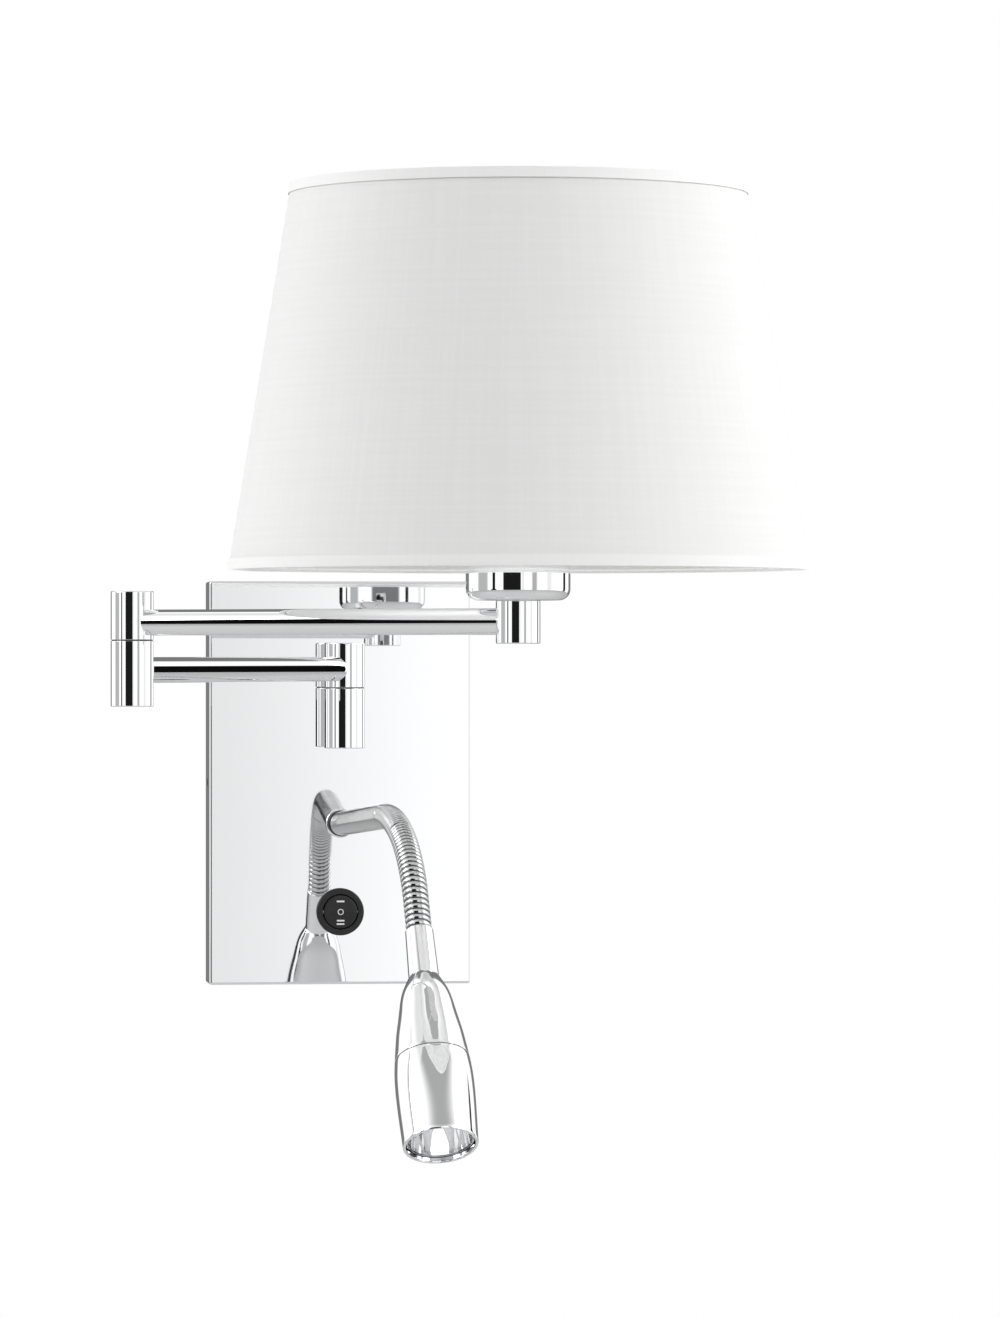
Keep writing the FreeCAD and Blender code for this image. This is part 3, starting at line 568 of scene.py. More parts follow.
def turned(
    name: str,
    points: Sequence[tuple[float, float]],
    axis: Axis,
    closed: bool = False,
    sides: int = 96,
    swell: Callable[[float, float, float], float] | None = None,
) -> bpy.types.Object:
    """Makes a turned piece.

    Args:
        name: The piece's name.
        points: The outline, as radius and height, from axis to axis, or all round if closed.
        axis: The axis it is turned about.
        closed: Whether the outline is a ring clear of the axis.
        sides: The number of sides.
        swell: Gives the radius to use at an angle, radius and height.

    Returns:
        The piece.
    """
    bm = bmesh.new()
    sheet = bm.loops.layers.uv.new("cloth")
    rings = []
    for r, h in points:
        if r < 1e-6:
            rings.append([bm.verts.new((0.0, 0.0, h))])
            continue
        ring = []
        for i in range(sides):
            angle = 2 * math.pi * i / sides
            reach = swell(angle, r, h) if swell else r
            ring.append(bm.verts.new((reach * math.cos(angle), reach * math.sin(angle), h)))
        rings.append(ring)
    spans = [math.dist(a, b) for a, b in zip(points, points[1:])] + [math.dist(points[-1], points[0])]
    around = 2 * math.pi * max(r for r, h in points) * MM
    travelled = 0.0
    for j in range(len(points) if closed else len(points) - 1):
        first, second = rings[j], rings[(j + 1) % len(points)]
        for i in range(sides):
            k = (i + 1) % sides
            corners = [
                (first[i % len(first)], i, travelled),
                (first[k % len(first)], i + 1, travelled),
                (second[k % len(second)], i + 1, travelled + spans[j]),
                (second[i % len(second)], i, travelled + spans[j]),
            ]
            used = []
            for corner in corners:
                if corner[0] not in [u[0] for u in used]:
                    used.append(corner)
            if len(used) < 3:
                continue
            face = bm.faces.new([u[0] for u in used])
            for loop, (_, step, along) in zip(face.loops, used):
                loop[sheet].uv = (around * step / sides, along * MM)
        travelled += spans[j]
    return finished(name, bm, axis.matrix())


def lofted(name: str, loops: Sequence[Sequence[Vector]], ring: bool = False) -> bpy.types.Object:
    """Joins loops of equal length into a closed skin.

    Args:
        name: The piece's name.
        loops: The loops in order.
        ring: Whether the last loop joins the first; otherwise both ends are capped.

    Returns:
        The piece.
    """
    bm = bmesh.new()
    rows = [[bm.verts.new(point) for point in loop] for loop in loops]
    count = len(rows[0])
    pairs = list(zip(rows, rows[1:])) + ([(rows[-1], rows[0])] if ring else [])
    for first, second in pairs:
        for i in range(count):
            k = (i + 1) % count
            bm.faces.new((first[i], first[k], second[k], second[i]))
    if not ring:
        bm.faces.new(rows[0])
        bm.faces.new(rows[-1])
    return finished(name, bm)


def bent_rod(
    name: str, path: Sequence[Vector], radius: float, ring: bool = False, sides: int = 16
) -> bpy.types.Object:
    """Makes a round rod along a path.

    Args:
        name: The piece's name.
        path: The points of its centre line.
        radius: Its radius.
        ring: Whether it closes on itself.
        sides: The number of sides.

    Returns:
        The piece.
    """
    loops = []
    count = len(path)
    side = Vector()
    for i, point in enumerate(path):
        ahead = path[(i + 1) % count] if ring else path[min(i + 1, count - 1)]
        back = path[i - 1] if ring or i > 0 else path[0]
        along = (ahead - back).normalized()
        side = (side - along * side.dot(along)) if side.length > 0 else along.orthogonal()
        side.normalize()
        across = along.cross(side)
        angles = [2 * math.pi * k / sides for k in range(sides)]
        loops.append([point + (side * math.cos(a) + across * math.sin(a)) * radius for a in angles])
    return lofted(name, loops, ring)


def joined(name: str, pieces: Sequence[bpy.types.Object]) -> bpy.types.Object:
    """Joins pieces into one mesh.

    Args:
        name: The new piece's name.
        pieces: The pieces, which are used up.

    Returns:
        The new piece.
    """
    bm = bmesh.new()
    for piece in pieces:
        bm.from_mesh(piece.data)
        bpy.data.objects.remove(piece)
    bm.transform(Matrix.Scale(1 / MM, 4))
    return finished(name, bm)


def settled(piece: bpy.types.Object, name: str) -> bpy.types.Object:
    """Turns a piece and its modifiers into a plain mesh piece.

    Args:
        piece: The piece, which is used up.
        name: The plain piece's name.

    Returns:
        The plain piece.
    """
    depsgraph = bpy.context.evaluated_depsgraph_get()
    mesh = bpy.data.meshes.new_from_object(piece.evaluated_get(depsgraph), depsgraph=depsgraph)
    mesh.name = name
    bpy.data.objects.remove(piece)
    plain = bpy.data.objects.new(name, mesh)
    bpy.context.scene.collection.objects.link(plain)
    return plain


def bored(piece: bpy.types.Object, holes: Sequence[bpy.types.Object]) -> bpy.types.Object:
    """Cuts holes in a piece.

    Args:
        piece: The piece.
        holes: What is cut out of it, which is used up.

    Returns:
        The piece with its holes.
    """
    name = piece.name
    for hole in holes:
        cut = piece.modifiers.new("cut", "BOOLEAN")
        cut.operation = "DIFFERENCE"
        cut.solver = "EXACT"
        cut.object = hole
    piece.name = name + "_blank"
    plain = settled(piece, name)
    for hole in holes:
        bpy.data.objects.remove(hole)
    plain.data.shade_smooth()
    plain.data.set_sharp_from_angle(angle=math.radians(SHARP_ANGLE))
    return plain


def fit(piece: bpy.types.Object, body: Body, slot: Slot, *nodes: str, finish: Finish | None = None) -> None:
    """Dresses a piece and fixes it to its body.

    Args:
        piece: The piece.
        body: The body it rides on.
        slot: The record's slot of its finish.
        nodes: The CAD nodes that it stands for.
        finish: A finish of its own, if it isn't the slot's.
    """
    dress(piece, (finish or FINISHES[slot]).material())
    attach(piece, body.value)
    if nodes:
        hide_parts(*nodes)
    log.info("%s on %s: %d faces", piece.name, body.value, len(piece.data.polygons))


def dress(piece: bpy.types.Object, *materials: bpy.types.Material) -> None:
    """Gives a piece its materials."""
    piece.data.materials.clear()
    for material in materials:
        piece.data.materials.append(material)


# ---------------------------------------------------------------- back box


@dataclass
class BackBox:
    """The pressed box on the wall, open at the back."""

    width: float = BOX_HIGH.x - BOX_LOW.x
    height: float = BOX_HIGH.z - BOX_LOW.z
    depth: float = -BOX_FACE
    sheet: float = 1.5
    edge: float = 1.2
    holes: tuple[tuple[float, float], ...] = ((32.0, 5.1), (-20.0, 5.1), (-64.0, 9.9))

    def loop(self, inset: float, y: float) -> list[Vector]:
        """Returns the box's outline at a depth, drawn in by an inset.

        Args:
            inset: How far it is drawn in.
            y: The depth.

        Returns:
            The loop's points.
        """
        radius = max(self.edge - inset, 0.02)
        half_x = self.width / 2 - inset - radius
        half_z = self.height / 2 - inset - radius
        points = []
        for quarter, (sx, sz) in enumerate(((1, 1), (-1, 1), (-1, -1), (1, -1))):
            for k in range(7):
                angle = math.pi / 2 * (quarter + k / 6)
                x = sx * half_x + radius * math.cos(angle)
                points.append(Vector((x, y, sz * half_z + radius * math.sin(angle))))
        return points

    def shell(self) -> bpy.types.Object:
        """Builds the shell, with its holes for the stub, the flexible arm and the switch.

        Returns:
            The shell.
        """
        face = -self.depth
        loops = [self.loop(0.0, 0.0), self.loop(0.0, -0.4), self.loop(0.0, face + self.edge + 0.15)]
        for k in range(9):
            angle = math.pi / 2 * k / 8
            inset = self.edge * (1 - math.cos(angle))
            loops.append(self.loop(inset, face + self.edge * (1 - math.sin(angle))))
        loops.append(self.loop(self.edge + 0.15, face))
        inside = [self.loop(self.sheet, face + self.sheet), self.loop(self.sheet, 0.0)]
        shell = lofted("back_box_shell", loops)
        hollow = lofted("hollow", [inside[0], [p + Vector((0, 5, 0)) for p in inside[1]]])
        drills = [hollow]
        for height, radius in self.holes:
            axis = Axis(Vector((0, face - 3, height)), Vector((0, 1, 0)))
            drills.append(turned("drill", [(0, 0), (radius, 0), (radius, 8), (0, 8)], axis, sides=64))
        return bored(shell, drills)

    def build(self) -> None:
        """Builds and fits the box."""
        fit(self.shell(), Body.BOX, Slot.CHROME, "backplate_shell")


# ---------------------------------------------------------------- swing arms


@dataclass(frozen=True)
class ColumnSize:
    """Where a column stands, and its levels."""

    name: str
    x: float
    y: float
    bottom: float
    seam: float
    top: float

    @classmethod
    def read(cls, name: str, lower: str, upper: str) -> "ColumnSize":
        """Reads a column's place and levels from its lower and upper nodes.

        Args:
            name: The column's name.
            lower: The node below its seam.
            upper: The node above its seam.

        Returns:
            The column's place and levels.
        """
        place = middle(lower)
        foot, seam = span(lower)
        return cls(name, place.x, place.y, foot.z, seam.z, span(upper)[1].z)

    def axis(self) -> Axis:
        """Returns the column's axis."""
        return Axis(self.at(0.0), UP)

    def at(self, level: float) -> Vector:
        """Returns the point on the axis at a level."""
        return Vector((self.x, self.y, level))


@dataclass
class SwingArms:
    """The three columns and the tubes between them."""

    radius: float = 10.0
    bore: float = 8.0
    hole: float = 5.0
    edge: float = 0.5
    seam_edge: float = 0.18
    floor: float = 2.5
    web: float = 5.0
    turning_web: float = 4.0
    seam_gap: float = 0.55
    cap: float = 2.0
    tube_radius: float = 6.0
    tube_bore: float = 5.0
    near: ColumnSize = ColumnSize.read("column_1", "column_1_lower_sleeve", "column_1_upper_sleeve")
    elbow: ColumnSize = ColumnSize.read("column_2", "column_2_lower_sleeve", "column_2_upper_sleeve")
    end: ColumnSize = ColumnSize.read("column_3", "column_3_sleeve", "column_3_sleeve")
    stub_level: float = middle("stub_tube").z
    inner_level: float = middle("arm_1_tube").z
    outer_level: float = middle("arm_2_tube").z

    def lower_sleeve(self, size: ColumnSize, name: str, top_edge: float) -> bpy.types.Object:
        """Builds a fixed sleeve: closed below, with a threaded web at its top.

        Args:
            size: The column's place and levels.
            name: The piece's name.
            top_edge: How far its top edge is rounded.

        Returns:
            The sleeve.
        """
        low, high = size.bottom, size.seam
        corners = [
            Corner(0, low),
            Corner(self.radius, low, self.edge),
            Corner(self.radius, high, top_edge),
            Corner(self.hole, high),
            Corner(self.hole, high - self.web),
            Corner(self.bore, high - self.web),
            Corner(self.bore, low + self.floor),
            Corner(0, low + self.floor),
        ]
        return turned(name, rounded(corners), size.axis())

    def upper_sleeve(self, size: ColumnSize, name: str) -> bpy.types.Object:
        """Builds a turning sleeve: open above, with a bored web at its foot.

        Args:
            size: The column's place and levels.
            name: The piece's name.

        Returns:
            The sleeve.
        """
        low, high = size.seam + self.seam_gap, size.top
        corners = [
            Corner(self.radius, low, self.seam_edge),
            Corner(self.radius, high, self.edge),
            Corner(self.bore, high, 0.08),
            Corner(self.bore, low + self.turning_web),
            Corner(self.hole + 0.05, low + self.turning_web),
            Corner(self.hole + 0.05, low),
        ]
        return turned(name, rounded(corners, closed=True), size.axis(), closed=True)

    def top_cap(self, size: ColumnSize, name: str) -> bpy.types.Object:
        """Builds the cap pressed into the top of a column.

        Args:
            size: The column's place and levels.
            name: The piece's name.

        Returns:
            The cap.
        """
        low = size.top - self.cap
        reach = self.bore - 0.01
        corners = [
            Corner(0, low), Corner(reach, low, 0.2), Corner(reach, size.top, 0.12), Corner(0, size.top)]
        return turned(name, rounded(corners), size.axis())

    def tube(self, name: str, start: Vector, end: Vector, square_start: bool = False) -> bpy.types.Object:
        """Builds a tube whose ends fit round the columns.

        Args:
            name: The tube's name.
            start: The axis point it comes from.
            end: The axis point of the column it goes to.
            square_start: Whether it starts flat, on the box, and not on a column.

        Returns:
            The tube.
        """
        along = (end - start).normalized()
        across = UP.cross(along)

        def loop(radius: float, at_end: bool, hold: float) -> list[Vector]:
            """Returns a saddle-shaped loop, moved along the tube by hold.

            Args:
                radius: The loop's radius.
                at_end: Whether it is at the tube's far end.
                hold: How far it is moved along the tube.

            Returns:
                The loop's points.
            """
            points = []
            for k in range(96):
                angle = 2 * math.pi * k / 96
                aside = radius * math.cos(angle)
                setback = math.sqrt(self.radius**2 - aside**2) + hold
                if square_start and not at_end:
                    setback = hold
                foot = end - along * setback if at_end else start + along * setback
                points.append(foot + across * aside + UP * radius * math.sin(angle))
            return points

        outer, inner = self.tube_radius, self.tube_bore
        loops = [loop(outer, False, 0.0), loop(outer, False, 0.4), loop(outer, True, 0.4)]
        loops += [loop(outer, True, 0.0), loop(inner, True, 0.0), loop(inner, False, 0.0)]
        return lofted(name, loops, ring=True)

    def build(self) -> None:
        """Builds and fits the columns, caps and tubes."""
        near, elbow, end, chrome = self.near, self.elbow, self.end, Slot.CHROME
        below, above = (Body.BOX, Body.INNER_ARM), (Body.INNER_ARM, Body.OUTER_ARM)
        for size, label, foot_body, top_body in zip((near, elbow), ("near", "elbow"), below, above):
            foot = self.lower_sleeve(size, f"{label}_column_foot", self.seam_edge)
            fit(foot, foot_body, chrome, f"{size.name}_lower_sleeve")
            fit(self.upper_sleeve(size, f"{label}_column_top"), top_body, chrome, f"{size.name}_upper_sleeve")
            fit(self.top_cap(size, f"{label}_column_cap"), top_body, chrome, f"{size.name}_top_cap")
        fit(self.lower_sleeve(end, "end_column", self.edge), Body.OUTER_ARM, chrome, f"{end.name}_sleeve")
        root = Vector((0, BOX_FACE, self.stub_level))
        stub = self.tube("stub", root, near.at(self.stub_level), square_start=True)
        fit(stub, Body.BOX, chrome, "stub_tube")
        inner = self.tube("inner_arm_tube", near.at(self.inner_level), elbow.at(self.inner_level))
        fit(inner, Body.INNER_ARM, chrome, "arm_1_tube")
        outer = self.tube("outer_arm_tube", elbow.at(self.outer_level), end.at(self.outer_level))
        fit(outer, Body.OUTER_ARM, chrome, "arm_2_tube")


# ---------------------------------------------------------------- lamp carrier


@dataclass
class LampCarrier:
    """The cup, lampholder, clamp rings and bulb on the end column."""

    x: float = LAMP_PLACE.x
    y: float = LAMP_PLACE.y
    cup_radius: float = 23.5
    cup_bottom: float = span("shade_cup")[0].z
    cup_height: float = 24.0
    cup_wall: float = 1.2
    cup_edge: float = 5.0
    holder_radius: float = 19.7
    holder_bore: float = 14.0
    holder_bottom: float = span("lampholder")[0].z
    holder_height: float = 50.0
    thread_pitch: float = 2.0
    ring_radius: float = 26.0
    ring_levels: tuple[float, float] = (118.2, 123.2)
    ring_height: float = 3.0
    cap_radius: float = 13.2
    cap_bottom: float = span("bulb_cap")[0].z
    cap_height: float = 26.0
    cap_pitch: float = 3.6
    globe_radius: float = 30.0
    globe_height: float = 80.0
    globe_neck: float = 15.0

    def axis(self) -> Axis:
        """Returns the lamp's axis."""
        return Axis(Vector((self.x, self.y, 0.0)), UP)

    def cup(self) -> bpy.types.Object:
        """Builds the cup, with its rounded foot.

        Returns:
            The cup.
        """
        low, high = self.cup_bottom, self.cup_bottom + self.cup_height
        inside = self.cup_radius - self.cup_wall
        corners = [
            Corner(5.0, low),
            Corner(self.cup_radius, low, self.cup_edge),
            Corner(self.cup_radius, high, 0.4),
            Corner(inside, high, 0.4),
            Corner(inside, low + self.cup_wall, self.cup_edge - self.cup_wall),
            Corner(5.0, low + self.cup_wall),
        ]
        points = rounded(corners, closed=True, steps=12)
        return turned("lamp_cup", points, self.axis(), closed=True, sides=144)

    def holder(self) -> bpy.types.Object:
        """Builds the lampholder, with the thread that its clamp rings turn on.

        Returns:
            The lampholder.
        """
        low, high = self.holder_bottom, self.holder_bottom + self.holder_height
        reach = self.holder_radius
        points = rounded([Corner(5.0, low), Corner(reach, low, 0.8), Corner(reach, low + 20)])
        turns = int((self.holder_height - 26) / self.thread_pitch)
        for k in range(turns):
            base = low + 21 + k * self.thread_pitch
            points += [(reach, base + 0.3), (reach - 0.6, base + 1.0)]
        points += rounded([
            Corner(reach, high - 4),
            Corner(reach, high, 0.8),
            Corner(self.holder_bore, high, 0.6),
            Corner(self.holder_bore, low + 3),
            Corner(5.0, low + 3),
        ])
        return turned("lampholder_body", points, self.axis(), closed=True)

    def clamp_rings(self) -> bpy.types.Object:
        """Builds the two rings that clamp the shade, with finger notches.

        Returns:
            Both rings as one piece.
        """
        rings = []

        def notched(angle: float, r: float, h: float) -> float:
            """Draws the outer edge in at each notch."""
            if r < self.ring_radius - 2:
                return r
            return r - 0.9 * max(0.0, math.cos(20 * angle)) ** 4

        for level in self.ring_levels:
            top = level + self.ring_height
            corners = [
                Corner(self.holder_radius + 0.05, level),
                Corner(self.ring_radius, level, 0.5),
                Corner(self.ring_radius, top, 0.5),
                Corner(self.holder_radius + 0.05, top),
            ]
            points = rounded(corners, closed=True)
            rings.append(turned("clamp", points, self.axis(), closed=True, sides=240, swell=notched))
        return joined("shade_clamps", rings)

    def bulb_cap(self) -> bpy.types.Object:
        """Builds the bulb's screw cap, with its rolled thread and contact.

        Returns:
            The cap.
        """
        low = self.cap_bottom
        reach = self.cap_radius
        points = [(0.0, low), (4.2, low), (4.6, low + 0.5), (5.2, low + 0.9), (reach - 1.2, low + 3.2)]
        steps = 44
        rolled = self.cap_height - 8
        for k in range(steps + 1):
            along = rolled * k / steps
            wave = math.cos(2 * math.pi * along / self.cap_pitch)
            points.append((reach - 0.45 + 0.45 * wave, low + 4 + along))
        top = low + self.cap_height
        points += [(reach - 0.4, top - 3), (reach, top - 0.2), (reach, top), (0.0, top)]
        return turned("bulb_screw_cap", points, self.axis())

    def globe(self) -> bpy.types.Object:
        """Builds the frosted bulb.

        Returns:
            The bulb.
        """
        low = self.cap_bottom + self.cap_height
        reach = self.globe_radius
        middle = self.globe_height - reach
        flank = ((0.0, self.globe_neck), (0.45 * middle, 0.78 * reach), (middle, reach))
        points = [(0.0, low), (self.globe_neck - 0.6, low), (self.globe_neck - 0.2, low + 0.15)]
        for k in range(1, 25):
            h = middle * k / 25
            points.append((eased(flank, h), low + h))
        for k in range(25):
            angle = math.pi / 2 * k / 24
            points.append((reach * math.cos(angle), low + middle + reach * math.sin(angle)))
        points[-1] = (0.0, low + self.globe_height)
        return turned("bulb_glass", points, self.axis())

    def build(self) -> None:
        """Builds and fits the carrier's pieces."""
        fit(self.cup(), Body.OUTER_ARM, Slot.CHROME, "shade_cup")
        fit(self.holder(), Body.OUTER_ARM, Slot.WHITE, "lampholder")
        fit(self.clamp_rings(), Body.OUTER_ARM, Slot.WHITE, "shade_clamp_rings")
        fit(self.bulb_cap(), Body.OUTER_ARM, Slot.CAP, "bulb_cap")
        fit(self.globe(), Body.OUTER_ARM, Slot.FROSTED, "bulb_globe")


# ---------------------------------------------------------------- shade


@dataclass
class Shade:
    """The tapered drum shade: cloth on a stiff liner, taped hems and a wire frame."""

    x: float = LAMP_PLACE.x
    y: float = LAMP_PLACE.y
    bottom: float = span("shade_cloth")[0].z
    height: float = span("shade_cloth")[1].z - span("shade_cloth")[0].z
    bottom_radius: float = 130.0
    top_radius: float = 102.0
    wall: float = 1.0
    hem: float = 4.5
    tape: float = 0.28
    wire: float = 1.5
    wire_inset: float = 2.2
    spoke: float = 1.0
    hub_level: float = 121.2
    hub_height: float = 2.0
    hub_radius: float = 25.0
    hub_bore: float = 20.3
    overlap: float = 0.35
    flat_size: tuple[float, float] = (0.783, 0.254)
    flat_area: float = 0.1274

    def axis(self) -> Axis:
        """Returns the shade's axis, with its seam turned to the wall."""
        return Axis(Vector((self.x, self.y, 0.0)), UP)

    def radius_at(self, rise: float) -> float:
        """Returns the shade's outer radius at a height above its bottom."""
        return self.bottom_radius + (self.top_radius - self.bottom_radius) * rise / self.height

    def seam_swell(self, angle: float, r: float, h: float) -> float:
        """Lifts the outer skin where the cloth's end laps over its start.

        Args:
            angle: The angle round the axis.
            r: The radius there.
            h: The height there.

        Returns:
            The radius to use.
        """
        lap = math.radians(90.0) < angle < math.radians(95.2)
        skin = r > self.radius_at(h - self.bottom) - 0.5 * self.wall
        return r + self.overlap if lap and skin else r

    def cloth(self) -> bpy.types.Object:
        """Builds the cloth with its liner as one thin shell.

        Returns:
            The shell, with the liner's faces in the second material.
        """
        rows = 24
        points = []
        for k in range(rows + 1):
            rise = self.height * k / rows
            points.append((self.radius_at(rise), self.bottom + rise))
        for k in range(rows + 1):
            rise = self.height * (rows - k) / rows
            points.append((self.radius_at(rise) - self.wall, self.bottom + rise))
        cloth = turned("shade_cloth_cone", points, self.axis(), closed=True, sides=288, swell=self.seam_swell)
        dress(cloth, FINISHES[Slot.FABRIC].material(), LINER.material())
        centre = Vector((self.x, self.y, 0.0)) * MM
        for face in cloth.data.polygons:
            out = face.center - centre
            face.material_index = 1 if face.normal.x * out.x + face.normal.y * out.y < 0 else 0
        return cloth

    def hem_tape(self, name: str, rise: float, upward: float) -> bpy.types.Object:
        """Builds the tape folded round one rim of the cloth.

        Args:
            name: The tape's name.
            rise: The rim's height above the shade's bottom.
            upward: 1 if the tape runs up from its fold, or -1 if it runs down.

        Returns:
            The tape.
        """
        gap, tape, reach = 0.02, self.tape, self.hem * upward
        edge = self.bottom + rise
        fold = edge - (gap + tape) * upward
        level = edge - gap * upward
        tip = edge + reach

        def wall_at(height: float, offset: float) -> float:
            """Returns the cloth's outer radius at a height, plus an offset."""
            return self.radius_at(height - self.bottom) + offset

        lap = self.overlap + gap
        corners = [
            Corner(wall_at(tip, lap), tip),
            Corner(wall_at(tip, lap + tape), tip, 0.1),
            Corner(wall_at(fold, lap + tape), fold, 0.25),
            Corner(wall_at(fold, -self.wall - gap - tape), fold, 0.25),
            Corner(wall_at(tip, -self.wall - gap - tape), tip, 0.1),
            Corner(wall_at(tip, -self.wall - gap), tip),
            Corner(wall_at(level, -self.wall - gap), level),
            Corner(wall_at(level, lap), level),
        ]
        return turned(name, rounded(corners, closed=True, steps=3), self.axis(), closed=True, sides=288)

    def wire_ring(self, name: str, rise: float) -> bpy.types.Object:
        """Builds a round wire ring just inside the cloth.

        Args:
            name: The piece's name.
            rise: The height above the shade's bottom.

        Returns:
            The ring.
        """
        reach = self.radius_at(rise) - self.wall - self.wire - 0.1
        centre = Vector((self.x, self.y, self.bottom + rise))
        path = []
        for k in range(180):
            angle = 2 * math.pi * k / 180
            path.append(centre + Vector((math.cos(angle), math.sin(angle), 0.0)) * reach)
        return bent_rod(name, path, self.wire - 0.2, ring=True)

    def hub(self) -> bpy.types.Object:
        """Builds the hub ring that the clamps hold.

        Returns:
            The hub ring.
        """
        top = self.hub_level + self.hub_height
        corners = [
            Corner(self.hub_bore, self.hub_level, 0.3),
            Corner(self.hub_radius, self.hub_level, 0.3),
            Corner(self.hub_radius, top, 0.3),
            Corner(self.hub_bore, top, 0.3),
        ]
        return turned("hub", rounded(corners, closed=True, steps=3), self.axis(), closed=True)

    def spoke_rod(self, heading: float) -> bpy.types.Object:
        """Builds one spoke, from the hub down to the bottom ring.

        Args:
            heading: The spoke's heading in degrees.

        Returns:
            The spoke.
        """
        out = Vector((math.cos(math.radians(heading)), math.sin(math.radians(heading)), 0.0))
        centre = Vector((self.x, self.y, 0.0))
        level = self.hub_level + self.hub_height / 2
        inner = centre + out * (self.hub_radius - 2) + UP * level
        knee = centre + out * (self.hub_radius + 5) + UP * level
        reach = self.radius_at(self.wire_inset) - self.wall - self.wire - 0.1
        outer = centre + out * reach + UP * (self.bottom + self.wire_inset)
        before = knee + (inner - knee) * 0.6
        after = knee + (outer - knee).normalized() * 5
        bend = []
        for k in range(9):
            t = k / 8
            bend.append(before * (1 - t) ** 2 + knee * 2 * t * (1 - t) + after * t**2)
        return bent_rod("spoke", [inner, *bend, outer], self.spoke)

    def build(self) -> None:
        cloth = self.cloth()
        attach(cloth, Body.OUTER_ARM.value)
        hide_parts("shade_cloth")
        log.info("%s: %d faces", cloth.name, len(cloth.data.polygons))
        lower = self.hem_tape("lower_hem", 0.0, 1.0)
        upper = self.hem_tape("upper_hem", self.height, -1.0)
        for tape in (lower, upper):
            fit(tape, Body.OUTER_ARM, Slot.FABRIC, finish=HEM)
        spokes = [self.spoke_rod(heading) for heading in (90.0, 210.0, 330.0)]
        bottom_ring = self.wire_ring("ring", self.wire_inset)
        frame_wire = joined("shade_wire_frame", [self.hub(), bottom_ring, *spokes])
        fit(frame_wire, Body.OUTER_ARM, Slot.WIRE, "shade_frame")
        top_ring = self.wire_ring("shade_top_wire", self.height - self.wire_inset)
        fit(top_ring, Body.OUTER_ARM, Slot.WIRE, "shade_top_ring")


# ---------------------------------------------------------------- flexible arm


@dataclass
class ArmPath:
    """The centre line of the flexible arm: straight, then curving down more and more, then straight."""

    start: Vector = field(
        default_factory=lambda: Vector((0.0, span("neck_bush")[0].y, middle("neck_bush").z))
    )
    heading: float = 3.0
    pitch: float = 3.0
    straight: float = 135.0
    bends: tuple[tuple[float, float], ...] = ((150.0, 22.0), (90.0, 20.0), (56.0, 18.0))
    end_straight: float = 16.0
    fixed_length: float = 26.0
    joints: int = 5

    def runs(self) -> list[tuple[float, float]]:
        """Returns the length and bend radius of each run, with 0 for a straight one."""
        curved = [(radius * math.radians(turn), radius) for radius, turn in self.bends]
        return [(self.straight, 0.0), *curved, (self.end_straight, 0.0)]

    def length(self) -> float:
        """Returns the arm's length."""
        return sum(length for length, _ in self.runs())

    def at(self, distance: float) -> tuple[Vector, Vector]:
        """Follows the arm to a distance from its root.

        Args:
            distance: How far along it to go.

        Returns:
            The point there, and the direction.
        """
        angle = math.radians(self.pitch)
        along, rise, left = 0.0, 0.0, distance
        for length, radius in self.runs():
            span = min(length, max(left, 0.0))
            left -= length
            if radius == 0.0:
                along += span * math.cos(angle)
                rise += span * math.sin(angle)
                continue
            after = angle - span / radius
            along += radius * (math.sin(angle) - math.sin(after))
            rise += radius * (math.cos(after) - math.cos(angle))
            angle = after
        turn = math.radians(self.heading)
        forward = Vector((math.sin(turn), -math.cos(turn), 0.0))
        return self.start + forward * along + UP * rise, forward * math.cos(angle) + UP * math.sin(angle)

    def joint(self, number: int) -> float:
        """Returns how far along the arm a joint is, counted from 1."""
        return self.fixed_length + (self.length() - self.fixed_length) / self.joints * (number - 1)


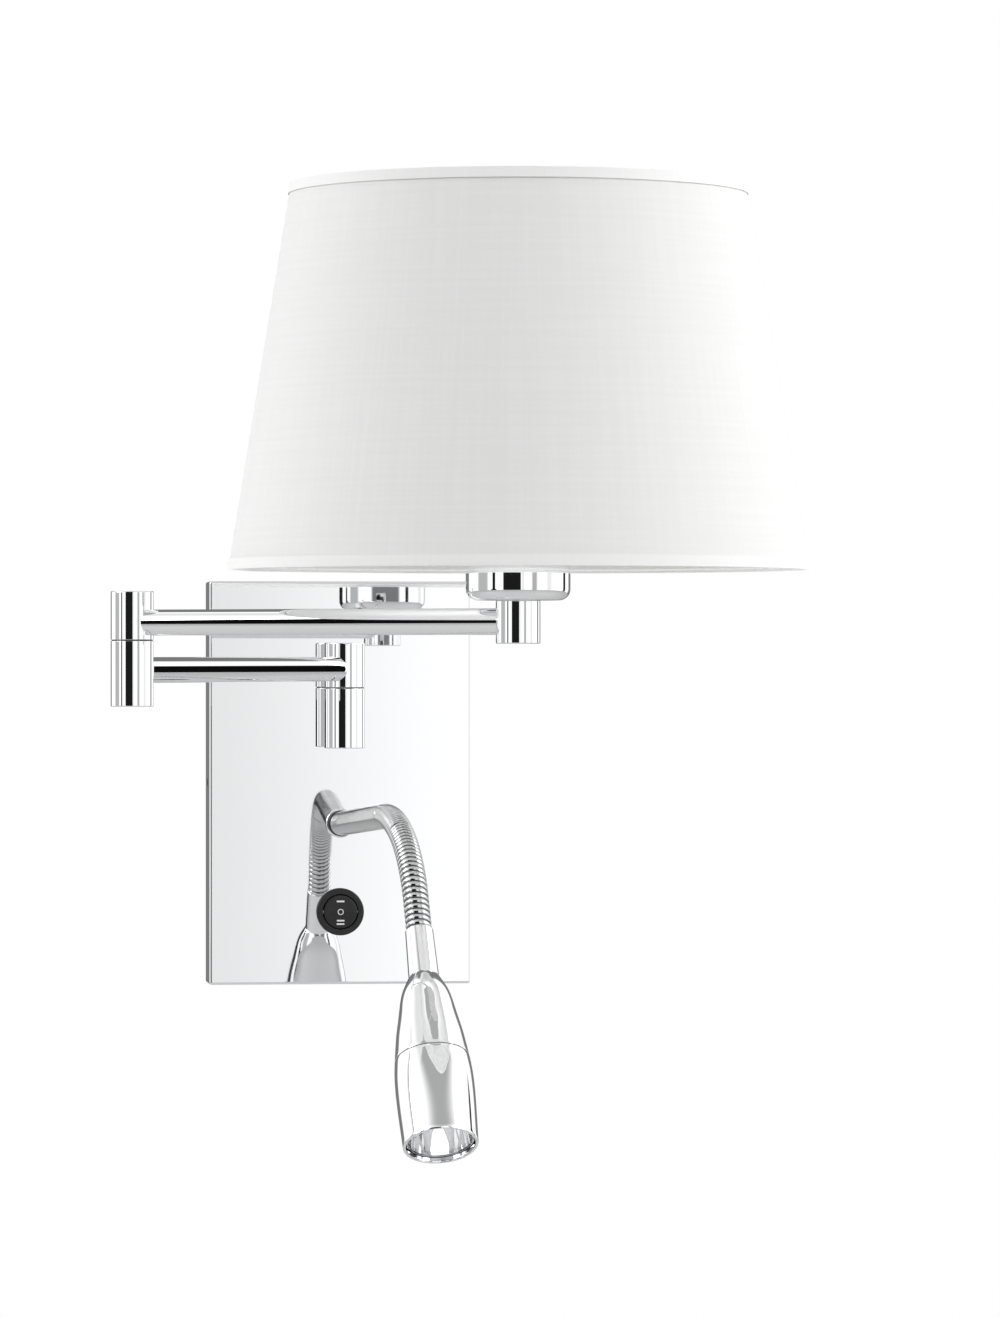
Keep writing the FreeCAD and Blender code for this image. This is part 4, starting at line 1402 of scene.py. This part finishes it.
@dataclass
class SpiralHose:
    """A node tree that wraps a spiral rib round a curve."""

    radius: float = 6.0
    rib_depth: float = 0.75
    rib_pitch: float = 2.85
    step: float = 0.2
    sides: int = 32

    def tree(self) -> bpy.types.NodeTree:
        """Builds the node tree, with its sizes as named inputs.

        Returns:
            The tree.
        """
        tree = bpy.data.node_groups.new("spiral_hose", "GeometryNodeTree")
        face = tree.interface
        face.new_socket("Path", in_out="INPUT", socket_type="NodeSocketGeometry")
        for name in ("Radius", "Rib Depth", "Rib Pitch", "Step", "Start"):
            face.new_socket(name, in_out="INPUT", socket_type="NodeSocketFloat")
        face.new_socket("Sides", in_out="INPUT", socket_type="NodeSocketInt")
        face.new_socket("Finish", in_out="INPUT", socket_type="NodeSocketMaterial")
        face.new_socket("Hose", in_out="OUTPUT", socket_type="NodeSocketGeometry")
        sketch = NodeSketch(tree)
        sizes = sketch.add("NodeGroupInput").outputs
        cut = sketch.add(
            "GeometryNodeResampleCurve", {"Curve": sizes["Path"], "Length": sizes["Step"]}, mode="LENGTH")
        upright = sketch.add("GeometryNodeSetCurveNormal", {"Curve": cut.outputs[0]}, mode="Z_UP")
        place = sketch.add("GeometryNodeSplineParameter")
        along = self.kept(sketch, upright.outputs[0], place.outputs["Length"])
        circle = sketch.add(
            "GeometryNodeCurvePrimitiveCircle", {"Resolution": sizes["Sides"], "Radius": sizes["Radius"]})
        around = self.kept(sketch, circle.outputs[0], place.outputs["Factor"])
        skin = sketch.add(
            "GeometryNodeCurveToMesh",
            {"Curve": along.outputs[0], "Profile Curve": around.outputs[0], "Fill Caps": True})
        travelled = sketch.maths("ADD", along.outputs[1], sizes["Start"])
        turns = sketch.maths("ADD", sketch.maths("DIVIDE", travelled, sizes["Rib Pitch"]), around.outputs[1])
        swing = sketch.maths("ABSOLUTE", sketch.maths("SINE", sketch.maths("MULTIPLY", turns, math.pi)))
        rib = sketch.maths("POWER", swing, 0.75)
        sink = sketch.maths("MULTIPLY", sketch.maths("SUBTRACT", rib, 1.0), sizes["Rib Depth"])
        inward = sketch.add(
            "ShaderNodeVectorMath",
            {0: sketch.add("GeometryNodeInputNormal").outputs[0], "Scale": sink},
            operation="SCALE")
        ribbed = sketch.add(
            "GeometryNodeSetPosition", {"Geometry": skin.outputs[0], "Offset": inward.outputs[0]})
        noted = sketch.add(
            "GeometryNodeStoreNamedAttribute",
            {"Geometry": ribbed.outputs[0], "Name": "rib", "Value": rib},
            data_type="FLOAT",
            domain="POINT")
        smooth = sketch.add("GeometryNodeSetShadeSmooth", {"Geometry": noted.outputs[0]})
        whole = sketch.add("GeometryNodeRealizeInstances", {"Geometry": smooth.outputs[0]})
        dressed = sketch.add(
            "GeometryNodeSetMaterial", {"Geometry": whole.outputs[0], "Material": sizes["Finish"]})
        sketch.add("NodeGroupOutput", {"Hose": dressed.outputs[0]})
        return tree

    def kept(self, sketch: NodeSketch, curve: Any, value: Any) -> bpy.types.Node:
        """Adds a node that keeps a value on a curve's points.

        Args:
            sketch: The tree that takes the nodes.
            curve: The curve.
            value: The value to keep.

        Returns:
            The node.
        """
        node = sketch.add("GeometryNodeCaptureAttribute", domain="POINT")
        node.capture_items.new("FLOAT", "Kept")
        sketch.tree.links.new(curve, node.inputs[0])
        sketch.tree.links.new(value, node.inputs[1])
        return node

    def wrap(
        self, name: str, path: ArmPath, start: float, end: float, tree: bpy.types.NodeTree
    ) -> bpy.types.Object:
        """Makes the hose between two distances along the arm.

        Args:
            name: The piece's name.
            path: The arm's centre line.
            start: Where the piece starts.
            end: Where it ends.
            tree: The node tree.

        Returns:
            The piece, as a plain mesh.
        """
        line = bpy.data.curves.new(name + "_line", "CURVE")
        line.dimensions = "3D"
        count = max(int(end - start), 2)
        spline = line.splines.new("POLY")
        spline.points.add(count)
        for k in range(count + 1):
            point = path.at(start + (end - start) * k / count)[0] * MM
            spline.points[k].co = (*point, 1.0)
        guide = bpy.data.objects.new(name + "_guide", line)
        bpy.context.scene.collection.objects.link(guide)
        hose = guide.modifiers.new("spiral", "NODES")
        hose.node_group = tree
        values = {
            "Radius": self.radius * MM,
            "Rib Depth": self.rib_depth * MM,
            "Rib Pitch": self.rib_pitch * MM,
            "Step": self.step * MM,
            "Start": start * MM,
            "Sides": self.sides,
            "Finish": FINISHES[Slot.HOSE].material(),
        }
        for item in tree.interface.items_tree:
            if item.in_out == "INPUT" and item.name in values:
                hose[item.identifier] = values[item.name]
        return settled(guide, name)


@dataclass
class FlexArm:
    """The flexible arm: its bright root ring, ribbed bush and spiral hose."""

    path: ArmPath = field(default_factory=ArmPath)
    hose: SpiralHose = field(default_factory=SpiralHose)
    face: float = BOX_FACE
    ring_radius: float = 7.2
    ring_height: float = 2.0
    bush_radius: float = 6.4
    bush_height: float = 7.0
    bush_bore: float = 3.0
    grooves: int = 3
    groove: float = 0.5
    bend_reach: float = 19.0

    def root_ring(self) -> bpy.types.Object:
        """Builds the bright ring at the arm's root.

        Returns:
            The ring.
        """
        axis = Axis(Vector((0.0, self.face, self.path.start.z)), OUT)
        corners = [
            Corner(5.0, 0.0),
            Corner(self.ring_radius, 0.0, 0.1),
            Corner(self.ring_radius, self.ring_height, 0.7),
            Corner(5.0, self.ring_height, 0.1),
        ]
        return turned("arm_root_ring", rounded(corners, closed=True, steps=8), axis, closed=True)

    def bush(self) -> bpy.types.Object:
        """Builds the black bush, with its grooves and the shank that goes through the box.

        Returns:
            The bush.
        """
        axis = Axis(Vector((0.0, self.face - self.ring_height, self.path.start.z)), OUT)
        shank = -self.ring_height - 10.0
        pitch = self.bush_height / (self.grooves + 1)
        corners = [
            Corner(self.bush_bore, shank),
            Corner(5.0, shank, 0.3),
            Corner(5.0, 0.0),
            Corner(self.bush_radius, 0.0, 0.25),
        ]
        for k in range(self.grooves):
            middle = pitch * (k + 1)
            low, high = middle - self.groove / 2, middle + self.groove / 2
            deep = self.bush_radius - self.groove
            corners += [
                Corner(self.bush_radius, low, 0.2),
                Corner(deep, low),
                Corner(deep, high),
                Corner(self.bush_radius, high, 0.2),
            ]
        corners += [Corner(self.bush_radius, self.bush_height, 0.4), Corner(self.bush_bore, self.bush_height)]
        return turned("arm_root_bush", rounded(corners, closed=True, steps=4), axis, closed=True)

    def build(self) -> None:
        """Builds the root, then a length of hose over each joint."""
        fit(self.root_ring(), Body.BOX, Slot.CHROME, "neck_root_ring")
        fit(self.bush(), Body.BOX, Slot.BLACK, "neck_bush")
        path, count = self.path, self.path.joints
        cuts = [0.0, *((path.joint(n) + path.joint(n + 1)) / 2 for n in range(1, count)), path.length()]
        tree = self.hose.tree()
        for n in range(1, count + 1):
            piece = self.hose.wrap(f"hose_length_{n}", path, cuts[n - 1], cuts[n], tree)
            before = path.at(path.joint(n) - self.bend_reach)[0] * MM
            after = path.at(path.joint(n) + self.bend_reach)[0] * MM
            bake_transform(piece)
            nodes = [f"neck_segment_{n}"] + ([f"neck_segment_{n + 1}"] if n == count else [])
            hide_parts(*nodes)
            log.info("%s: %d faces", piece.name, len(piece.data.polygons))


# ---------------------------------------------------------------- reading head


@dataclass
class ReadingHead:
    """The collar and the two-part bullet head, with its reflector, lens and light-emitting chip."""

    path: ArmPath = field(default_factory=ArmPath)
    collar: float = 24.7
    collar_radius: float = 6.4
    root_radius: float = 7.0
    radius: float = 17.8
    mouth: float = 17.0
    length: float = 86.5
    wall: float = 1.4
    seam: float = 43.0
    seam_gap: float = 0.3
    swell: tuple[tuple[float, float], ...] = ((0.10, 0.36), (0.23, 0.58), (0.38, 0.80), (0.62, 1.0))
    board_top: float = 59.6
    throat: float = 5.0
    lens_start: float = 82.6
    lens_thickness: float = 1.5

    def axis(self, along: float) -> Axis:
        """Returns the head's axis, from a distance past the end of the hose."""
        point, direction = self.path.at(self.path.length())
        return Axis(point + direction * along, direction)

    def outline(self, at: float) -> float:
        """Returns the head's outer radius at a distance from its root.

        Args:
            at: The distance from the head's root.

        Returns:
            The outer radius.
        """
        rise = self.radius - self.root_radius
        middle = [(share * self.length, self.root_radius + part * rise) for share, part in self.swell]
        return eased([(0.0, self.root_radius), *middle, (self.length, self.mouth)], at)

    def stretch(self, start: float, end: float, inset: float, count: int = 30) -> list[tuple[float, float]]:
        """Returns points along the head's outline, drawn in by an inset."""
        heights = [start + (end - start) * k / count for k in range(count + 1)]
        return [(self.outline(h) - inset, h) for h in heights]

    def collar_piece(self) -> bpy.types.Object:
        """Builds the smooth collar between the hose and the head."""
        corners = [
            Corner(4.0, 0.0),
            Corner(self.collar_radius, 0.0, 0.5),
            Corner(self.root_radius, self.collar - 0.05, 0.15),
            Corner(4.0, self.collar - 0.05),
        ]
        return turned("head_collar", rounded(corners, closed=True), self.axis(0.0), closed=True)

    def rear(self) -> bpy.types.Object:
        """Builds the rear half of the head, down to the seam.

        Returns:
            The rear half.
        """
        end = self.seam - self.seam_gap / 2
        points = [(4.0, 0.0), (self.root_radius - 0.25, 0.0), (self.root_radius - 0.02, 0.2)]
        points += self.stretch(0.8, end - 0.35, 0.0)
        points += [(self.outline(end) - 0.04, end - 0.12), (self.outline(end) - 0.16, end)]
        points += [(self.outline(end) - self.wall, end), *self.stretch(end - 0.5, 2.2, self.wall)]
        points += [(self.root_radius - 0.6, self.wall), (4.0, self.wall)]
        return turned("head_rear", points, self.axis(self.collar), closed=True)

    def front(self) -> bpy.types.Object:
        """Builds the front half of the head, with the spigot that joins the rear half.

        Returns:
            The front half.
        """
        start = self.seam + self.seam_gap / 2
        outer = self.outline(start)
        inner = outer - self.wall
        points = [(outer - 0.16, start), (outer - 0.04, start + 0.12)]
        points += self.stretch(start + 0.35, self.length - 0.9, 0.0)
        rim = self.length
        points += [
            (self.mouth - 0.03, rim - 0.45),
            (self.mouth - 0.14, rim - 0.18),
            (self.mouth - 0.38, rim - 0.02),
            (self.mouth - self.wall + 0.4, rim),
            (self.mouth - self.wall + 0.1, rim - 0.12),
            (self.mouth - self.wall, rim - 0.4),
        ]
        points += self.stretch(rim - 1.0, start + 7.0, self.wall)
        points += [(inner - 2.0, start + 6.5), (inner - 2.0, self.seam - 6.0), (inner - 0.9, self.seam - 6.0)]
        points += [(inner - 0.9, start)]
        return turned("head_front", points, self.axis(self.collar), closed=True)

    def reflector(self) -> bpy.types.Object:
        """Builds the bowl-shaped reflector between the board and the lens.

        Returns:
            The reflector.
        """
        low, high = self.board_top + 0.05, self.lens_start - 0.05
        rim = self.outline(high) - self.wall - 0.25

        def bowl(share: float) -> float:
            """Returns the bowl's radius at a share of its height."""
            straight = self.throat + (rim - 0.8 - self.throat) * share
            return straight + 1.6 * math.sin(math.pi * share)

        count = 28
        inside = [(bowl(k / count), low + (high - low) * k / count) for k in range(count + 1)]
        outside = [(r + 0.8, h) for r, h in reversed(inside)]
        return turned("bright_bowl", inside + outside, self.axis(self.collar), closed=True)

    def lens(self) -> bpy.types.Object:
        """Builds the clear lens, slightly crowned.

        Returns:
            The lens.
        """
        low, high = self.lens_start, self.lens_start + self.lens_thickness
        reach = self.outline(high) - self.wall - 0.1
        points = rounded([Corner(0, low), Corner(reach, low, 0.2), Corner(reach, high - 0.25, 0.2)])[:-1]
        for k in range(13):
            r = (reach - 0.3) * (1 - k / 12)
            points.append((r, high - 0.25 * (r / reach) ** 2))
        points[-1] = (0.0, high)
        return turned("mouth_lens", points, self.axis(self.collar))

    def chip(self) -> bpy.types.Object:
        """Builds the light-emitting chip on its board.

        Returns:
            The chip.
        """
        low = self.board_top + 0.02
        corners = [Corner(0, low), Corner(4.1, low, 0.1), Corner(4.1, low + 0.7, 0.3), Corner(0, low + 0.7)]
        return turned("light_chip", rounded(corners), self.axis(self.collar), sides=48)

    def build(self) -> None:
        """Builds and fits the head."""
        fit(self.collar_piece(), Body.HEAD, Slot.CHROME, "neck_collar")
        fit(self.rear(), Body.HEAD, Slot.CHROME, "head_rear_shell")
        fit(self.front(), Body.HEAD, Slot.CHROME, "head_front_shell")
        fit(self.reflector(), Body.HEAD, Slot.REFLECTOR, "reflector")
        fit(self.lens(), Body.HEAD, Slot.LENS, "head_lens")
        fit(self.chip(), Body.HEAD, Slot.BOARD, finish=PHOSPHOR)


# ---------------------------------------------------------------- rocker switch


@dataclass
class RockerSwitch:
    """The round rocker switch, with its bezel and low-ridged rocker."""

    height: float = middle("switch_housing").z
    face: float = BOX_FACE
    bezel_radius: float = 11.75
    bezel_height: float = 2.2
    bezel_edge: float = 0.7
    body_radius: float = 9.8
    body_depth: float = 13.0
    pocket_radius: float = 8.75
    pocket_depth: float = 6.0
    rocker_radius: float = 8.3
    crest: float = 3.2
    rim: float = 1.8
    under: float = -1.7

    def axis(self) -> Axis:
        """Returns the switch's axis, out of the box."""
        return Axis(Vector((0.0, self.face, self.height)), OUT)

    def housing(self) -> bpy.types.Object:
        """Builds the bezel and the body behind it."""
        corners = [
            Corner(0, -self.body_depth),
            Corner(self.body_radius, -self.body_depth, 0.6),
            Corner(self.body_radius, 0.0),
            Corner(self.bezel_radius, 0.0, 0.1),
            Corner(self.bezel_radius, self.bezel_height, self.bezel_edge),
            Corner(self.pocket_radius, self.bezel_height, 0.35),
            Corner(self.pocket_radius, -self.pocket_depth),
            Corner(0, -self.pocket_depth),
        ]
        return turned("switch_bezel", rounded(corners, steps=8), self.axis())

    def top(self, z: float) -> float:
        """Returns how far the rocker's face stands out, at a height from its middle."""
        slope = (self.crest - self.rim) / (self.rocker_radius + 1)
        return self.crest - slope * (math.sqrt(z * z + 0.16) - 0.4) - 0.06

    def rocker(self) -> bpy.types.Object:
        """Builds the rocker: a round button with a low ridge across it.

        Returns:
            The rocker.
        """
        sides, rings = 96, 26
        loops = []
        edge, flat = self.rocker_radius, self.rocker_radius - 0.35
        depths = [(edge, 0.35), (edge - 0.1, 0.1), (flat, 0.0)]
        reaches = [flat * (1 - k / rings) for k in range(1, rings)] + [0.05]
        for reach, drop in [(edge, None), *depths, *((r, 0.0) for r in reaches)]:
            loop = []
            for k in range(sides):
                angle = 2 * math.pi * k / sides
                x, z = reach * math.cos(angle), reach * math.sin(angle)
                y = self.under if drop is None else self.top(z) - drop
                loop.append(Vector((x, self.face - y, self.height + z)))
            loops.append(loop)
        return lofted("switch_button", loops)

    def build(self) -> None:
        """Builds and fits the switch."""
        fit(self.housing(), Body.BOX, Slot.BLACK, "switch_housing")
        fit(self.rocker(), Body.ROCKER, Slot.BLACK, "switch_rocker")


# ---------------------------------------------------------------- studio


@dataclass(frozen=True)
class Panel:
    """A panel of the studio, as the lamp sees it: degrees round from the front towards the right, and up."""

    left: float
    right: float
    low: float
    high: float
    level: float
    soft: float = 1.5


@dataclass(frozen=True)
class Softbox:
    """A soft rectangular light: where it hangs and faces, its sides in metres, and its power in watts."""

    name: str
    place: tuple[float, float, float]
    power: float
    aim: tuple[float, float, float] = (0.05, -0.3, 0.15)
    size: tuple[float, float] = (1.6, 1.6)
    mirrored: bool = True

    def hang(self) -> None:
        """Hangs the light, which the camera doesn't see, nor the bright metal unless it is mirrored."""
        lamp = bpy.data.lights.new(self.name, "AREA")
        lamp.shape = "RECTANGLE"
        lamp.size, lamp.size_y = self.size
        lamp.energy = self.power
        holder = bpy.data.objects.new(self.name, lamp)
        holder.location = self.place
        view = Vector(self.aim) - Vector(self.place)
        holder.rotation_euler = view.to_track_quat("-Z", "Y").to_euler()
        holder.visible_camera = False
        holder.visible_glossy = self.mirrored
        bpy.context.scene.collection.objects.link(holder)


@dataclass
class Studio:
    """A white studio with dark flags, a pale floor, soft lights and the camera."""

    white: float = 1.12
    floor_level: float = -1.2
    floor_radius: float = 6.0
    camera_place: tuple[float, float, float] = (-0.2865, -3.025, 0.063)
    camera_aim: tuple[float, float, float] = (0.080, -0.025, 0.06175)
    focal: float = 165.8
    panels: tuple[Panel, ...] = (
        Panel(-72.0, 84.0, 50.0, 100.0, 0.42, 7.0),
        Panel(-120.0, -72.0, 50.0, 72.0, 0.80, 6.0),
        Panel(2.0, 5.5, -40.0, 50.0, 0.80, 2.0),
        Panel(-106.0, -78.0, -60.0, 40.0, 0.48, 3.5),
        Panel(24.0, 35.0, -60.0, 46.0, 0.45, 2.5),
        Panel(60.0, 72.0, -60.0, 46.0, 0.88, 4.0),
        Panel(-40.0, -1.0, -40.0, 42.0, 0.012, 1.2),
        Panel(-65.4, -58.8, -7.0, 7.0, 0.004, 0.8),
        Panel(-69.0, -56.5, 5.0, 24.0, 0.004, 1.0),
        Panel(-69.0, -56.5, -26.0, -5.0, 0.004, 1.0),
        Panel(111.5, 121.0, -19.0, 17.0, 0.004, 1.5),
        Panel(140.0, 200.0, -62.0, 62.0, 0.20, 4.0),
        Panel(-200.0, -146.0, -62.0, 62.0, 0.20, 4.0),
    )
    softboxes: tuple[Softbox, ...] = (
        Softbox("right_softbox", (2.4, -1.2, 1.4), 30.0),
        Softbox("left_softbox", (-2.6, -0.6, 1.2), 29.0),
        Softbox("front_softbox", (0.3, -3.2, 1.6), 3.0, mirrored=False),
        Softbox("low_softbox", (0.0, 0.38, -1.1), 20.0, (0.0, 0.38, 0.0), (3.0, 1.1), mirrored=False),
    )

    def world(self) -> None:
        """Builds the surroundings: white, with the panels as the lamp's bright parts mirror them."""
        world = bpy.data.worlds.new("white_studio")
        bpy.context.scene.world = world
        world.use_nodes = True
        world.node_tree.nodes.clear()
        sketch = NodeSketch(world.node_tree)
        seen_from = sketch.add("ShaderNodeTexCoord").outputs["Generated"]
        way = sketch.add("ShaderNodeSeparateXYZ", {0: seen_from})
        front = sketch.maths("MULTIPLY", way.outputs[1], -1.0)
        degrees = 180.0 / math.pi
        azimuth = sketch.maths("MULTIPLY", sketch.maths("ARCTAN2", way.outputs[0], front), degrees)
        elevation = sketch.maths("MULTIPLY", sketch.maths("ARCSINE", way.outputs[2]), degrees)
        level: Any = self.white
        for panel in self.panels:
            across = sketch.window(azimuth, panel.left, panel.right, panel.soft)
            upright = sketch.window(elevation, panel.low, panel.high, panel.soft)
            mask = sketch.maths("MULTIPLY", across, upright)
            change = sketch.maths("SUBTRACT", panel.level, level)
            level = sketch.maths("MULTIPLY_ADD", mask, change, level)
        glow = sketch.add("ShaderNodeBackground", {"Strength": level})
        plain = sketch.add("ShaderNodeBackground", {"Strength": 1.0})
        for node in (glow, plain):
            node.inputs["Color"].default_value = (1.0, 1.0, 1.0, 1.0)
        seen = sketch.add("ShaderNodeLightPath").outputs["Is Camera Ray"]
        mix = sketch.add("ShaderNodeMixShader", {0: seen, 1: glow.outputs[0], 2: plain.outputs[0]})
        sketch.add("ShaderNodeOutputWorld", {"Surface": mix.outputs[0]})

    def floor(self) -> None:
        """Builds the pale floor under the lamp."""
        level = self.floor_level / MM
        edge = self.floor_radius / MM
        foot = level - 20
        corners = [Corner(0, foot), Corner(edge, foot, 8), Corner(edge, level, 8), Corner(0, level)]
        floor = turned("studio_floor", rounded(corners, steps=3), Axis(Vector(), UP), sides=128)
        dress(floor, FLOOR_PAINT.material())

    def camera(self) -> None:
        """Sets up the camera."""
        data = bpy.data.cameras.new("camera")
        data.sensor_width = 36.0
        data.lens = self.focal
        data.clip_start = 0.1
        data.clip_end = 60.0
        camera = bpy.data.objects.new("camera", data)
        camera.location = self.camera_place
        view = Vector(self.camera_aim) - Vector(self.camera_place)
        camera.rotation_euler = view.to_track_quat("-Z", "Y").to_euler()
        bpy.context.scene.collection.objects.link(camera)
        bpy.context.scene.camera = camera

    def build(self) -> None:
        """Builds the studio."""
        self.world()
        self.floor()
        for softbox in self.softboxes:
            softbox.hang()
        self.camera()
        view = bpy.context.scene.view_settings
        view.view_transform = "Standard"
        view.look = "None"


# ---------------------------------------------------------------- the whole lamp


def dress_inside() -> None:
    """Gives every node that came with the frame the finish of its slot."""
    for row in frame["record"]["subparts"]:
        dress(frame["nodes"][row["node"]], FINISHES[Slot(row["material_slot"])].material())


def main() -> None:
    """Builds the lamp and its studio."""
    logging.basicConfig(level=logging.INFO, format="%(name)s: %(message)s")
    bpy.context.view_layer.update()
    studio = Studio()
    studio.build()
    dress_inside()
    for part in (BackBox(), SwingArms(), LampCarrier(), Shade(), FlexArm(), ReadingHead(), RockerSwitch()):
        log.info("building %s", type(part).__name__)
        part.build()


if __name__ == "__main__":
    main()
